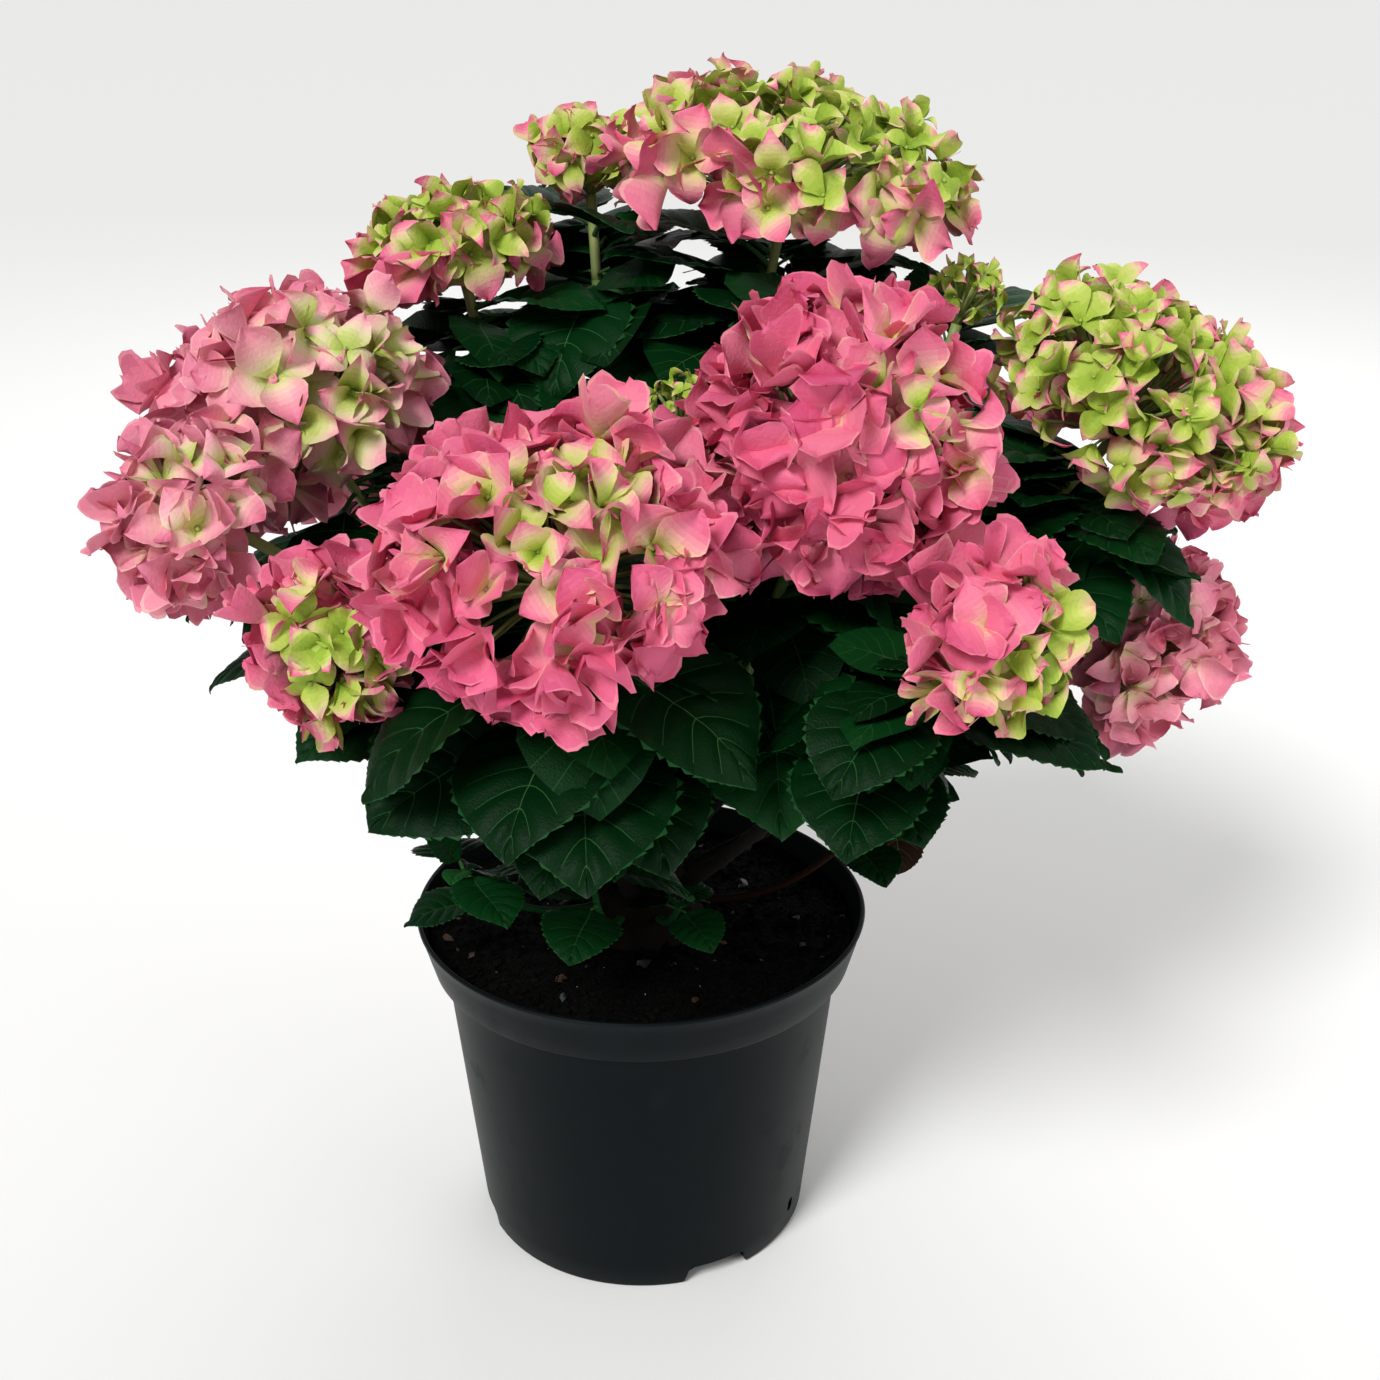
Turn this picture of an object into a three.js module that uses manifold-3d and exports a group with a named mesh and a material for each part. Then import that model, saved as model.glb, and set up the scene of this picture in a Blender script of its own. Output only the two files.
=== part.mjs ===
// A mophead hydrangea shrub, grown in a round moulded nursery pot filled with potting compost.
// Millimetres, +Z up. The origin is the centre of the pot's flat underside, and -Y is the shrub's front.
// A woody stump stands in the compost. One cane rises from it to each shoot, the cane runs on into a
// leafy stem with opposite leaves, and that ends in a dome of four-lobed florets.
import * as THREE from "three";
import { mergeVertices } from "three/addons/utils/BufferGeometryUtils.js";
import Module from "manifold-3d";

const wasm = await Module();
wasm.setup();

// ---- Driving dimensions ----

const CLEAR = 0.3; // gap between pieces that rest on each other
const UP = new THREE.Vector3(0, 0, 1);
const GOLDEN_ANGLE = Math.PI * (3 - Math.sqrt(5));

const POT = { rimRadius: 115, height: 178, baseRadius: 86, wall: 1.8, floor: 2.5, sides: 32 };
const COLLAR = { height: 26, footRadius: 108, step: 6.5 };
// The foot's corner is cut away at each drain notch, and the wall has a small slot between some of them.
const NOTCH = { angles: [27, -75, 105, -153], width: 38, topWidth: 28, height: 10, depth: 15 };
const SLOT = { angles: [63, 156, -111], width: 5, height: 8, rise: 12, depth: 8 };

const COMPOST = { drop: 11, flatRadius: 34, roughness: 2.2, rings: 2, sides: 16 };
const STUMP = { footRadius: 34, neckRadius: 25, domeRadius: 27, height: 22, sides: 16 };

// How far each part of a shoot reaches along its line from the stump to the flower head.
const SPLIT = { caneEnd: 0.46, leafyEnd: 0.86 };
const CANE = { footRadius: 4, tipRadius: 3.1, sides: 6, steps: 4 };
const LEAFY = { footRadius: 3.1, tipRadius: 2.5, sides: 5, steps: 3 };
const PEDUNCLE = { footRadius: 2.4, tipRadius: 3.4, sides: 5, steps: 2, sunk: 0.35 };

// Leaves stand in pairs up the leafy stem, each pair turned a quarter turn from the one below.
// A leaf that would run into something is tried again at another angle, and left out after the last try.
const PAIRS = { places: [0.5, 0.61, 0.72, 0.83], lengths: [0.85, 1, 1, 0.9], tries: 5 };
const BETWEEN = { places: [0.85, 0.67], around: 3, length: 0.82 }; // leaves between the pairs
const SKIRT = 290; // no leaf under the flower heads hangs lower than this
const LEAF = { width: 0.68, petiole: 0.2, petioleWidth: 3, fold: 0.1, thickness: 0.014 };
// A floret's shape, as shares of its length, how deep its point is sunk, the half angle of a lobe's
// end, and how far round its head (degrees from the top) the florets go.
const FLORET = { size: 0.92, notch: 0.42, notchRise: 0.12, middle: 0.15, lowLobe: 0.13, highLobe: 0.32 };
const FLORET_SEAT = { sunk: 6, shoulder: 27, reach: 118 };
const CORE = { size: 0.8, around: 9, down: 5 };

// One row for each shoot: the middle of its flower head, the head's radius and half its height, which way
// the head faces (degrees from straight up, and the heading), how many florets it carries and how long
// they are, where its cane leaves the stump's dome (heading, and degrees up from level), and the turn,
// length and droop of its leaves.
const SHOOTS = [
  ["front", [-29, -150, 420], 77, 52, 26, -95, 17, 26, [-99, 30], -75, 132, 84],
  ["mid_right", [86, -98, 451], 67, 68, 34, -70, 16, 26, [-47, 57], -58, 132, 88],
  ["top_left", [-26, 122, 534], 33, 27, 12, 110, 7, 17, [150, 77], -70, 130, 80],
  ["top", [75, 100, 532], 95, 44, 11, -20, 19, 27, [56, 57], -110, 140, 70],
  ["upper_left", [-90, 90, 496], 56, 31, 12, 165, 10, 22, [128, 57], -84, 124, 76],
  ["bud_right", [158, 60, 479], 21, 20, 14, 20, 5, 11, [30, 77], -75, 124, 70],
  ["bud_middle", [20, 0, 439], 17, 21, 10, -90, 5, 10, [-90, 77], 110, 110, 70],
  ["left", [-158, 2, 434], 73, 62, 34, 190, 16, 26, [180, 57], -110, 116, 80],
  ["right", [238, 18, 437], 81, 50, 33, -10, 17, 25, [10, 57], -74, 122, 76],
  ["small_right", [142, -170, 392], 40, 43, 48, -65, 10, 21, [-55, 30], 65, 88, 56],
  ["far_right", [248, 42, 304], 52, 63, 60, 5, 12, 23, [4, 30], -50, 96, 40],
  ["low_left", [-122, -121, 371], 39, 46, 56, -125, 10, 20, [228, 30], 5, 96, 70],
  ["outer_left", [-187, -84, 413], 40, 39, 62, 205, 10, 20, [196, 30], 20, 76, 60],
  ["back", [30, 205, 372], 72, 56, 42, 84, 13, 26, [86, 30], 30, 122, 66],
  ["back_left", [-138, 152, 372], 68, 54, 46, 132, 12, 26, [134, 30], 100, 118, 70],
  ["back_right", [160, 168, 374], 70, 56, 46, 46, 12, 26, [44, 30], 10, 120, 70],
].map(([name, at, radius, half, tilt, heading, florets, petal, foot, turn, leaf, droop]) => {
  return { name, at, radius, half, tilt, heading, florets, petal, foot, turn, leaf, droop };
});

// Leaves that fill a certain gap between the heads: which shoot they grow on and how far up it, their
// heading and length, how steeply they rise from the stem, how far they bend down, and their roll.
const GAP_LEAVES = [
  ["front", 0.72, 210, 106, -2, 34, -34],
  ["front", 0.61, -64, 98, 34, 96, 0],
  ["front", 0.5, -112, 70, 16, 70, 0],
  ["bud_middle", 0.5, -94, 72, -6, 46, 0],
  ["mid_right", 0.61, -85, 118, 14, 76, 24],
  ["mid_right", 0.61, 196, 68, 5, 20, 0],
  ["small_right", 0.83, -12, 78, -2, 40, -30],
  ["far_right", 0.72, -42, 92, 20, 36, -30],
  ["right", 0.72, -24, 108, 24, 34, -30],
  ["right", 0.83, -60, 84, 26, 50, 0],
  ["right", 0.85, -112, 74, 34, 34, 0],
  ["right", 0.61, -38, 118, 4, 50, -20],
  ["right", 0.5, -66, 84, 14, 60, 0],
  ["top_left", 0.83, -52, 104, 0, 64, 0],
  ["top_left", 0.83, 100, 84, 34, 40, 0],
  ["top", 0.83, -66, 104, 30, 70, 0],
  ["top", 0.83, 215, 80, 30, 60, 0],
  ["top", 0.85, -100, 84, 34, 50, 0],
  ["top", 0.85, 30, 84, 34, 50, 0],
  ["upper_left", 0.83, -35, 92, 6, 70, 0],
  ["upper_left", 0.85, 276, 92, 12, 74, 0],
].map(([shoot, place, heading, length, rise, droop, roll]) => {
  return { shoot, place, heading, length, rise, droop, roll };
});

// Low shoots with no flower head that lie out over the rim: where their tip is, and their leaves.
const LOW_SHOOTS = [
  { name: "low_shoot_left", tip: [-84, -56, 226], heading: 209, leaf: 48, turn: 205, pairs: [0.72, 0.98] },
  { name: "low_shoot_front", tip: [-22, -60, 230], heading: 250, leaf: 54, turn: 262, pairs: [0.7, 0.98] },
  { name: "low_shoot_middle", tip: [20, -46, 202], heading: -70, leaf: 38, turn: -60, pairs: [0.9] },
  { name: "low_shoot_right", tip: [128, -22, 266], heading: -12, leaf: 44, turn: -66, pairs: [0.7, 0.98] },
];
const LOW_STEM = { footRadius: 2.2, tipRadius: 1.6, sides: 5, steps: 3, footRise: 2 };

// ---- Solids and small helpers ----

function dice(seed) {
  let state = seed;
  return () => (state = (state * 48271) % 2147483647) / 2147483647;
}

function solid(geometry) {
  geometry.deleteAttribute("normal");
  geometry.deleteAttribute("uv");
  const merged = mergeVertices(geometry, 1e-3);
  return new wasm.Manifold(
    new wasm.Mesh({
      numProp: 3,
      vertProperties: merged.attributes.position.array,
      triVerts: new Uint32Array(merged.index.array),
    }),
  );
}

function polyhedron(points, faces) {
  const geometry = new THREE.BufferGeometry().setFromPoints(points);
  return solid(geometry.setIndex(faces.flat()));
}

function geometryOf(made) {
  const mesh = made.getMesh();
  const geometry = new THREE.BufferGeometry();
  geometry.setAttribute("position", new THREE.BufferAttribute(mesh.vertProperties, 3));
  geometry.setIndex(new THREE.BufferAttribute(mesh.triVerts, 1));
  const flat = geometry.toNonIndexed();
  flat.computeVertexNormals();
  return flat;
}

// The largest body of a solid: loose scraps are dropped.
function largestBody(made) {
  return made.decompose().reduce((most, body) => (body.volume() > most.volume() ? body : most));
}

function lathe(profile, sides) {
  const points = profile.map(([radius, height]) => new THREE.Vector2(radius, height));
  return new THREE.LatheGeometry(points, sides).rotateX(Math.PI / 2);
}

function radians(degrees) {
  return (degrees * Math.PI) / 180;
}

function headingOf(degrees) {
  return new THREE.Vector3(Math.cos(radians(degrees)), Math.sin(radians(degrees)), 0);
}

// A unit vector that leans from straight up by tilt degrees towards a heading.
function leaning(tilt, heading) {
  return headingOf(heading)
    .multiplyScalar(Math.sin(radians(tilt)))
    .addScaledVector(UP, Math.cos(radians(tilt)));
}

// Two unit vectors square to an axis, the first one level.
function squareTo(axis) {
  const level = new THREE.Vector3(-axis.y, axis.x, 0);
  if (level.length() < 1e-6) level.set(1, 0, 0);
  level.normalize();
  return [level, new THREE.Vector3().crossVectors(axis, level)];
}

// A tapering limb with flat ends along a stretch of a curve.
function limb(curve, from, to, size) {
  const points = [];
  const faces = [];
  const { sides, steps } = size;
  for (let i = 0; i <= steps; i++) {
    const place = from + ((to - from) * i) / steps;
    const middle = curve.getPoint(place);
    const [across, over] = squareTo(curve.getTangent(place));
    const radius = size.footRadius + ((size.tipRadius - size.footRadius) * i) / steps;
    for (let j = 0; j < sides; j++) {
      const turn = (2 * Math.PI * j) / sides;
      points.push(
        middle
          .clone()
          .addScaledVector(across, radius * Math.cos(turn))
          .addScaledVector(over, radius * Math.sin(turn)),
      );
    }
  }
  for (let i = 0; i < steps; i++) {
    for (let j = 0; j < sides; j++) {
      const a = i * sides + j;
      const b = i * sides + ((j + 1) % sides);
      faces.push([a, b, b + sides], [a, b + sides, a + sides]);
    }
  }
  for (let j = 1; j < sides - 1; j++) {
    faces.push([0, j + 1, j]);
    faces.push([steps * sides, steps * sides + j, steps * sides + j + 1]);
  }
  return polyhedron(points, faces);
}

// ---- Pot, compost and stump ----

const wallTopRadius = COLLAR.footRadius - COLLAR.step;
const collarFoot = POT.height - COLLAR.height;

function pot() {
  const { rimRadius, height, baseRadius, wall, floor } = POT;
  const outside = [
    [0, 0],
    [baseRadius - 2, 0],
    [baseRadius, 2],
    [wallTopRadius, collarFoot - 1.5],
    [COLLAR.footRadius, collarFoot],
    [rimRadius, height - 1],
  ];
  const inside = [
    [rimRadius - 0.8, height],
    [rimRadius - wall - 0.6, height],
    [COLLAR.footRadius - wall, collarFoot + 2],
    [wallTopRadius - wall, collarFoot],
    [baseRadius - wall, floor],
    [0, floor],
  ];
  let made = solid(lathe([...outside, ...inside], POT.sides));
  for (const angle of NOTCH.angles) {
    const outline = new THREE.Shape([
      new THREE.Vector2(-NOTCH.width / 2, -1),
      new THREE.Vector2(NOTCH.width / 2, -1),
      new THREE.Vector2(NOTCH.topWidth / 2, NOTCH.height),
      new THREE.Vector2(-NOTCH.topWidth / 2, NOTCH.height),
    ]);
    made = made.subtract(wallCutter(outline, angle, NOTCH.depth));
  }
  for (const angle of SLOT.angles) {
    const outline = new THREE.Shape([
      new THREE.Vector2(-SLOT.width / 2, SLOT.rise),
      new THREE.Vector2(SLOT.width / 2, SLOT.rise),
      new THREE.Vector2(SLOT.width / 2, SLOT.rise + SLOT.height),
      new THREE.Vector2(-SLOT.width / 2, SLOT.rise + SLOT.height),
    ]);
    made = made.subtract(wallCutter(outline, angle, SLOT.depth));
  }
  return made;
}

// An outline drawn on the wall, pushed in from outside. The angle runs round from the front to the right.
function wallCutter(outline, angle, depth) {
  const cutter = new THREE.ExtrudeGeometry(outline, { depth: depth + 10, bevelEnabled: false });
  cutter.rotateX(Math.PI / 2);
  cutter.translate(0, -(POT.baseRadius - depth), 0);
  cutter.rotateZ(radians(angle));
  return solid(cutter);
}

// The compost fills the pot to just under its rim. It stays clear of the wall, the notches and the slots.
const compostTop = POT.height - COMPOST.drop;

function compost() {
  const wallGap = POT.wall + 0.5;
  const share = (compostTop - 3 - collarFoot) / COLLAR.height;
  const topRadius = COLLAR.footRadius + (POT.rimRadius - COLLAR.footRadius) * share - wallGap - 1;
  const profile = [
    [0, POT.floor + CLEAR],
    [POT.baseRadius - NOTCH.depth - 2, POT.floor + CLEAR],
    [POT.baseRadius - NOTCH.depth - 2, NOTCH.height + 2],
    [POT.baseRadius - wallGap + 0.6, NOTCH.height + 3],
    [wallTopRadius - wallGap - 0.4, collarFoot + 1],
    [COLLAR.footRadius - wallGap - 0.4, collarFoot + 3],
    [topRadius, compostTop - 3],
  ];
  for (let i = 0; i <= COMPOST.rings; i++) {
    const radius = topRadius - 2 - ((topRadius - 2 - COMPOST.flatRadius) * i) / COMPOST.rings;
    profile.push([radius, compostTop]);
  }
  profile.push([0, compostTop]);
  const geometry = lathe(profile, COMPOST.sides);
  const places = geometry.attributes.position;
  for (let i = 0; i < places.count; i++) {
    const [x, y, z] = [places.getX(i), places.getY(i), places.getZ(i)];
    const radius = Math.hypot(x, y);
    if (z > compostTop - 0.5 && radius > COMPOST.flatRadius + 1) {
      const lumps = Math.sin(x * 0.11 + 1.3) * Math.cos(y * 0.13) + Math.sin((x + y) * 0.07);
      places.setZ(i, z + COMPOST.roughness * 0.5 * lumps);
    }
  }
  return solid(geometry);
}

// The old woody base that the canes grow from: flared at its flat foot, domed on top.
const stumpFoot = compostTop + CLEAR;
const domeMiddle = new THREE.Vector3(0, 0, stumpFoot + STUMP.height - 8);

function stump() {
  const profile = [
    [0, stumpFoot],
    [STUMP.footRadius, stumpFoot],
    [STUMP.neckRadius + 2.5, stumpFoot + 4],
    [STUMP.neckRadius, domeMiddle.z - 4],
  ];
  for (let i = 0; i <= 4; i++) {
    const rise = radians(22.5 * i);
    profile.push([STUMP.domeRadius * Math.cos(rise), domeMiddle.z + STUMP.domeRadius * Math.sin(rise)]);
  }
  profile[profile.length - 1][0] = 0;
  return solid(lathe(profile, STUMP.sides));
}

// ---- The line of each shoot ----

// A point on the stump's dome, clear of it.
function onDome([heading, rise]) {
  return domeMiddle.clone().addScaledVector(leaning(90 - rise, heading), STUMP.domeRadius + CLEAR);
}

function shootLine(shoot) {
  const middle = new THREE.Vector3(...shoot.at);
  const axis = leaning(shoot.tilt, shoot.heading);
  const end = middle.clone().addScaledVector(axis, -shoot.half * CORE.size * PEDUNCLE.sunk);
  const start = onDome(shoot.foot);
  const outward = start.clone().sub(domeMiddle).normalize();
  const reach = start.distanceTo(end);
  return new THREE.CubicBezierCurve3(
    start,
    start.clone().addScaledVector(outward, reach * 0.16),
    end.clone().addScaledVector(axis, -reach * 0.36),
    end,
  );
}

// ---- Flower heads ----

// A four-lobed floret facing along its normal: lobes that stand up a little, two of them more, over a
// square point that sinks into the head's core.
function floret(middle, normal, turn, length) {
  const [across, over] = squareTo(normal);
  const shoulder = radians(FLORET_SEAT.shoulder);
  const place = (angle, radius, rise) =>
    middle
      .clone()
      .addScaledVector(across, length * radius * Math.cos(angle))
      .addScaledVector(over, length * radius * Math.sin(angle))
      .addScaledVector(normal, length * rise);
  const points = [middle.clone().addScaledVector(normal, -FLORET_SEAT.sunk), place(0, 0, FLORET.middle)];
  const faces = [];
  for (let lobe = 0; lobe < 4; lobe++) {
    const angle = turn + (lobe * Math.PI) / 2;
    const rise = lobe % 2 ? FLORET.highLobe : FLORET.lowLobe;
    points.push(place(angle - Math.PI / 4, FLORET.notch, FLORET.notchRise));
    points.push(place(angle - shoulder, 0.94, rise));
    points.push(place(angle + shoulder, 0.94, rise));
    const [notch, near, far] = [2 + lobe * 3, 3 + lobe * 3, 4 + lobe * 3];
    const next = 2 + ((lobe * 3 + 3) % 12);
    faces.push([1, notch, near], [1, near, far], [1, far, next]);
    faces.push([near, notch, next], [near, next, far], [0, next, notch]);
  }
  return polyhedron(points, faces);
}

// Places on a head's dome, laid out on a spiral: each with its point and the normal there.
function domePlaces(shoot, count, random) {
  const middle = new THREE.Vector3(...shoot.at);
  const axis = leaning(shoot.tilt, shoot.heading);
  const [across, over] = squareTo(axis);
  const lowest = Math.cos(radians(FLORET_SEAT.reach));
  const places = [];
  for (let i = 0; i < count; i++) {
    const height = 1 - ((i + 0.5) / count) * (1 - lowest);
    const ring = Math.sqrt(1 - height * height);
    const turn = i * GOLDEN_ANGLE + 0.5 * (random() - 0.5);
    const outward = across
      .clone()
      .multiplyScalar((ring * Math.cos(turn)) / shoot.radius)
      .addScaledVector(over, (ring * Math.sin(turn)) / shoot.radius)
      .addScaledVector(axis, height / shoot.half)
      .normalize();
    const point = middle
      .clone()
      .addScaledVector(across, shoot.radius * ring * Math.cos(turn))
      .addScaledVector(over, shoot.radius * ring * Math.sin(turn))
      .addScaledVector(axis, shoot.half * height);
    places.push({ point, outward, height });
  }
  return places;
}

// How far out a point lies in a head: 1 on the head's outside.
function depthIn(shoot, point) {
  const offset = point.clone().sub(new THREE.Vector3(...shoot.at));
  const along = offset.dot(leaning(shoot.tilt, shoot.heading));
  const out = Math.sqrt(Math.max(0, offset.lengthSq() - along * along));
  return Math.hypot(along / shoot.half, out / shoot.radius);
}

function nearestHead(point) {
  return SHOOTS.reduce((best, shoot) => (depthIn(shoot, point) < depthIn(best, point) ? shoot : best));
}

// The smaller solid middle of a flower head, on its stalk.
function heart(shoot, line) {
  const [radius, half] = [shoot.radius * CORE.size, shoot.half * CORE.size];
  const core = new THREE.SphereGeometry(1, CORE.around, CORE.down).rotateX(Math.PI / 2);
  core.scale(radius, radius, half);
  core.applyQuaternion(new THREE.Quaternion().setFromUnitVectors(UP, leaning(shoot.tilt, shoot.heading)));
  core.translate(...shoot.at);
  const gap = CLEAR / line.getLength();
  const shape = solid(core).add(limb(line, SPLIT.leafyEnd + gap, 1, PEDUNCLE));
  return { shape, box: shape.boundingBox() };
}

function head(shoot, index, middle, others) {
  const random = dice(1000 + 77 * index);
  const size = { ...shoot, radius: shoot.radius * CORE.size, half: shoot.half * CORE.size };
  const pieces = [middle.shape];
  for (const spot of domePlaces(size, shoot.florets, random)) {
    const turn = random() * Math.PI;
    const length = shoot.petal * FLORET.size * (0.85 + 0.3 * random());
    const made = floret(spot.point, spot.outward, turn, length);
    if (nearestHead(spot.point) === shoot && !touches(made, others)) pieces.push(made);
  }
  return largestBody(wasm.Manifold.union(pieces));
}

// ---- Leaves ----

// Stations along a leaf: the share of its length, and its half width as a share of the widest.
const LEAF_STATIONS = [
  [LEAF.petiole, 0.1],
  [0.45, 0.94],
  [0.72, 0.86],
];

// A leaf that leaves its stem at a heading and bends down along its length: a blade folded a little
// along its midrib, on a narrow petiole that starts inside the stem.
function leaf(foot, { heading, length, rise, droop, roll }) {
  const along = headingOf(heading);
  const side = new THREE.Vector3().crossVectors(UP, along);
  const points = [foot.clone()];
  const halfWidth = (length * LEAF.width) / 2;
  const middle = foot.clone();
  let reached = 0;
  const stations = [...LEAF_STATIONS, [1, 0]];
  for (const [share, width] of stations) {
    const slope = radians(rise - droop * ((share + reached) / 2));
    const forward = along.clone().multiplyScalar(Math.cos(slope)).addScaledVector(UP, Math.sin(slope));
    middle.addScaledVector(forward, length * (share - reached));
    reached = share;
    if (width === 0) {
      points.push(middle.clone());
      break;
    }
    const upward = new THREE.Vector3().crossVectors(forward, side);
    const tilted = side.clone().applyAxisAngle(forward, radians(roll));
    const outward = upward.clone().applyAxisAngle(forward, radians(roll));
    const half = share > LEAF.petiole ? width * halfWidth : LEAF.petioleWidth / 2;
    const dip = share > LEAF.petiole ? half * LEAF.fold * 2 : 0;
    const thick = Math.max(length * LEAF.thickness, 1);
    points.push(middle.clone().addScaledVector(tilted, half));
    points.push(middle.clone().addScaledVector(outward, thick / 2 - dip));
    points.push(middle.clone().addScaledVector(tilted, -half));
    points.push(middle.clone().addScaledVector(outward, -thick / 2 - dip));
  }
  const faces = [];
  const rings = LEAF_STATIONS.length;
  const tip = points.length - 1;
  for (let j = 0; j < 4; j++) {
    const next = (j + 1) % 4;
    faces.push([0, 1 + next, 1 + j]);
    faces.push([tip, 1 + (rings - 1) * 4 + j, 1 + (rings - 1) * 4 + next]);
    for (let i = 0; i < rings - 1; i++) {
      const [a, b] = [1 + i * 4 + j, 1 + i * 4 + next];
      faces.push([a, b, b + 4], [a, b + 4, a + 4]);
    }
  }
  return polyhedron(points, faces);
}

// Whether a solid comes too near any other that is already there.
function touches(made, others) {
  const box = made.boundingBox();
  return others.some(({ shape, box: other }) => {
    const apart = [0, 1, 2].some((i) => box.min[i] - 1 > other.max[i] || box.max[i] + 1 < other.min[i]);
    return !apart && made.minGap(shape, 1) < CLEAR;
  });
}

// Whether the middle line of a leaf goes through the space of a flower head.
function runsIntoHead(foot, { heading, length, rise, droop }) {
  return [0.5, 0.75, 1].some((share) => {
    const slope = radians(rise - (droop * share) / 2);
    const point = foot
      .clone()
      .addScaledVector(headingOf(heading), length * share * Math.cos(slope))
      .addScaledVector(UP, length * share * Math.sin(slope));
    return SHOOTS.some((shoot) => depthIn(shoot, point) < 1);
  });
}

// Adds a leaf to the pieces of one stem, clear of everything else, in a few tries that sway ever more.
function addLeaf(pieces, foot, length, plan, random, others) {
  for (let attempt = 0; attempt < PAIRS.tries; attempt++) {
    const sway = attempt * 9 + 6;
    const shape = {
      heading: plan.turn + sway * 2 * (random() - 0.5),
      length: length * (1.05 - 0.05 * attempt) * (0.93 + 0.14 * random()),
      rise: plan.rise + sway * (random() - 0.5),
      droop: plan.droop * (0.85 + 0.3 * random()),
      roll: 24 * (random() - 0.5),
    };
    const blade = leaf(foot, shape);
    const tooLow = blade.boundingBox().min[2] < plan.lowest;
    if (tooLow || runsIntoHead(foot, shape) || touches(blade, others)) continue;
    pieces.push(blade);
    return;
  }
}

// Adds crossed pairs of leaves up one stem.
function addPairs(pieces, line, pairs, plan, random, others) {
  pairs.forEach(({ place, length }, pair) => {
    for (const half of [0, 180]) {
      const turn = plan.turn + 90 * pair + half;
      addLeaf(pieces, line.getPoint(place), length, { ...plan, turn }, random, others);
    }
  });
}

// ---- Putting the shrub together ----

const COLOURS = {
  pot: { color: 0x1c2224, roughness: 0.42 },
  compost: { color: 0x120d0a, roughness: 0.95 },
  wood: { color: 0x6b5138, roughness: 0.85 },
  leafy: { color: 0x12401f, roughness: 0.5 },
  blossom: { color: 0xe0708f, roughness: 0.6 },
  blush: { color: 0xb4c667, roughness: 0.6 },
};
const GREEN_HEADS = ["right", "top", "upper_left", "top_left", "bud_right", "bud_middle"];

const shrub = new THREE.Group();
const standing = []; // every solid that is already in place

function place(name, shape, finish) {
  const material = new THREE.MeshStandardMaterial({ ...COLOURS[finish], metalness: 0 });
  const mesh = new THREE.Mesh(geometryOf(shape), material);
  mesh.name = name;
  shrub.add(mesh);
  standing.push({ name, shape, box: shape.boundingBox() });
}

place("pot", pot(), "pot");
place("compost", compost(), "compost");
place("stump", stump(), "wood");

const lines = SHOOTS.map(shootLine);
SHOOTS.forEach((shoot, i) => {
  place(`cane_${shoot.name}`, limb(lines[i], 0, SPLIT.caneEnd, CANE), "wood");
});
const hearts = SHOOTS.map((shoot, i) => heart(shoot, lines[i]));
SHOOTS.forEach((shoot, i) => {
  const finish = GREEN_HEADS.includes(shoot.name) ? "blush" : "blossom";
  const others = [...standing, ...hearts.filter((other) => other !== hearts[i])];
  place(`bloom_${shoot.name}`, head(shoot, i, hearts[i], others), finish);
});

// Every leafy stem is there before the first leaf, so that no leaf is laid across one.
function stem(name, line, from, to, size) {
  const shape = limb(line, from, to, size);
  return { name, line, shape, box: shape.boundingBox(), pieces: [shape] };
}
const stems = SHOOTS.map((shoot, i) => {
  const gap = CLEAR / lines[i].getLength();
  return stem(`leaves_${shoot.name}`, lines[i], SPLIT.caneEnd + gap, SPLIT.leafyEnd - gap / 2, LEAFY);
});
const lowStems = LOW_SHOOTS.map((shoot) => {
  const tip = new THREE.Vector3(...shoot.tip);
  const start = onDome([shoot.heading, LOW_STEM.footRise]);
  const outward = start.clone().sub(domeMiddle).normalize();
  const control = start.clone().addScaledVector(outward, start.distanceTo(tip) * 0.5);
  return stem(shoot.name, new THREE.QuadraticBezierCurve3(start, control, tip), 0, 1, LOW_STEM);
});

const blades = []; // every leaf so far, with the stem that it grows on
function others(own) {
  const rest = [...stems, ...lowStems].filter((other) => other !== own);
  return [...standing, ...rest, ...blades.filter((blade) => blade.stem !== own)];
}
function noteBlades(own, from) {
  for (const shape of own.pieces.slice(from)) blades.push({ stem: own, shape, box: shape.boundingBox() });
}

for (const row of GAP_LEAVES) {
  const own = stems.find(({ name }) => name === `leaves_${row.shoot}`);
  const blade = leaf(own.line.getPoint(row.place), row);
  if (touches(blade, others(own))) continue;
  own.pieces.push(blade);
  noteBlades(own, own.pieces.length - 1);
}
SHOOTS.forEach((shoot, i) => {
  const own = stems[i];
  const before = own.pieces.length;
  const pairs = PAIRS.places.map((place, j) => ({ place, length: shoot.leaf * PAIRS.lengths[j] }));
  const plan = { turn: shoot.turn, rise: 16, droop: shoot.droop, lowest: SKIRT };
  addPairs(own.pieces, own.line, pairs, plan, dice(5000 + 31 * i), others(own));
  noteBlades(own, before);
});
LOW_SHOOTS.forEach((shoot, i) => {
  const own = lowStems[i];
  const before = own.pieces.length;
  const pairs = shoot.pairs.map((place) => ({ place, length: shoot.leaf }));
  const plan = { turn: shoot.turn, rise: 22, droop: 60, lowest: 0 };
  addPairs(own.pieces, own.line, pairs, plan, dice(9000 + 13 * i), others(own));
  noteBlades(own, before);
});
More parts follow.
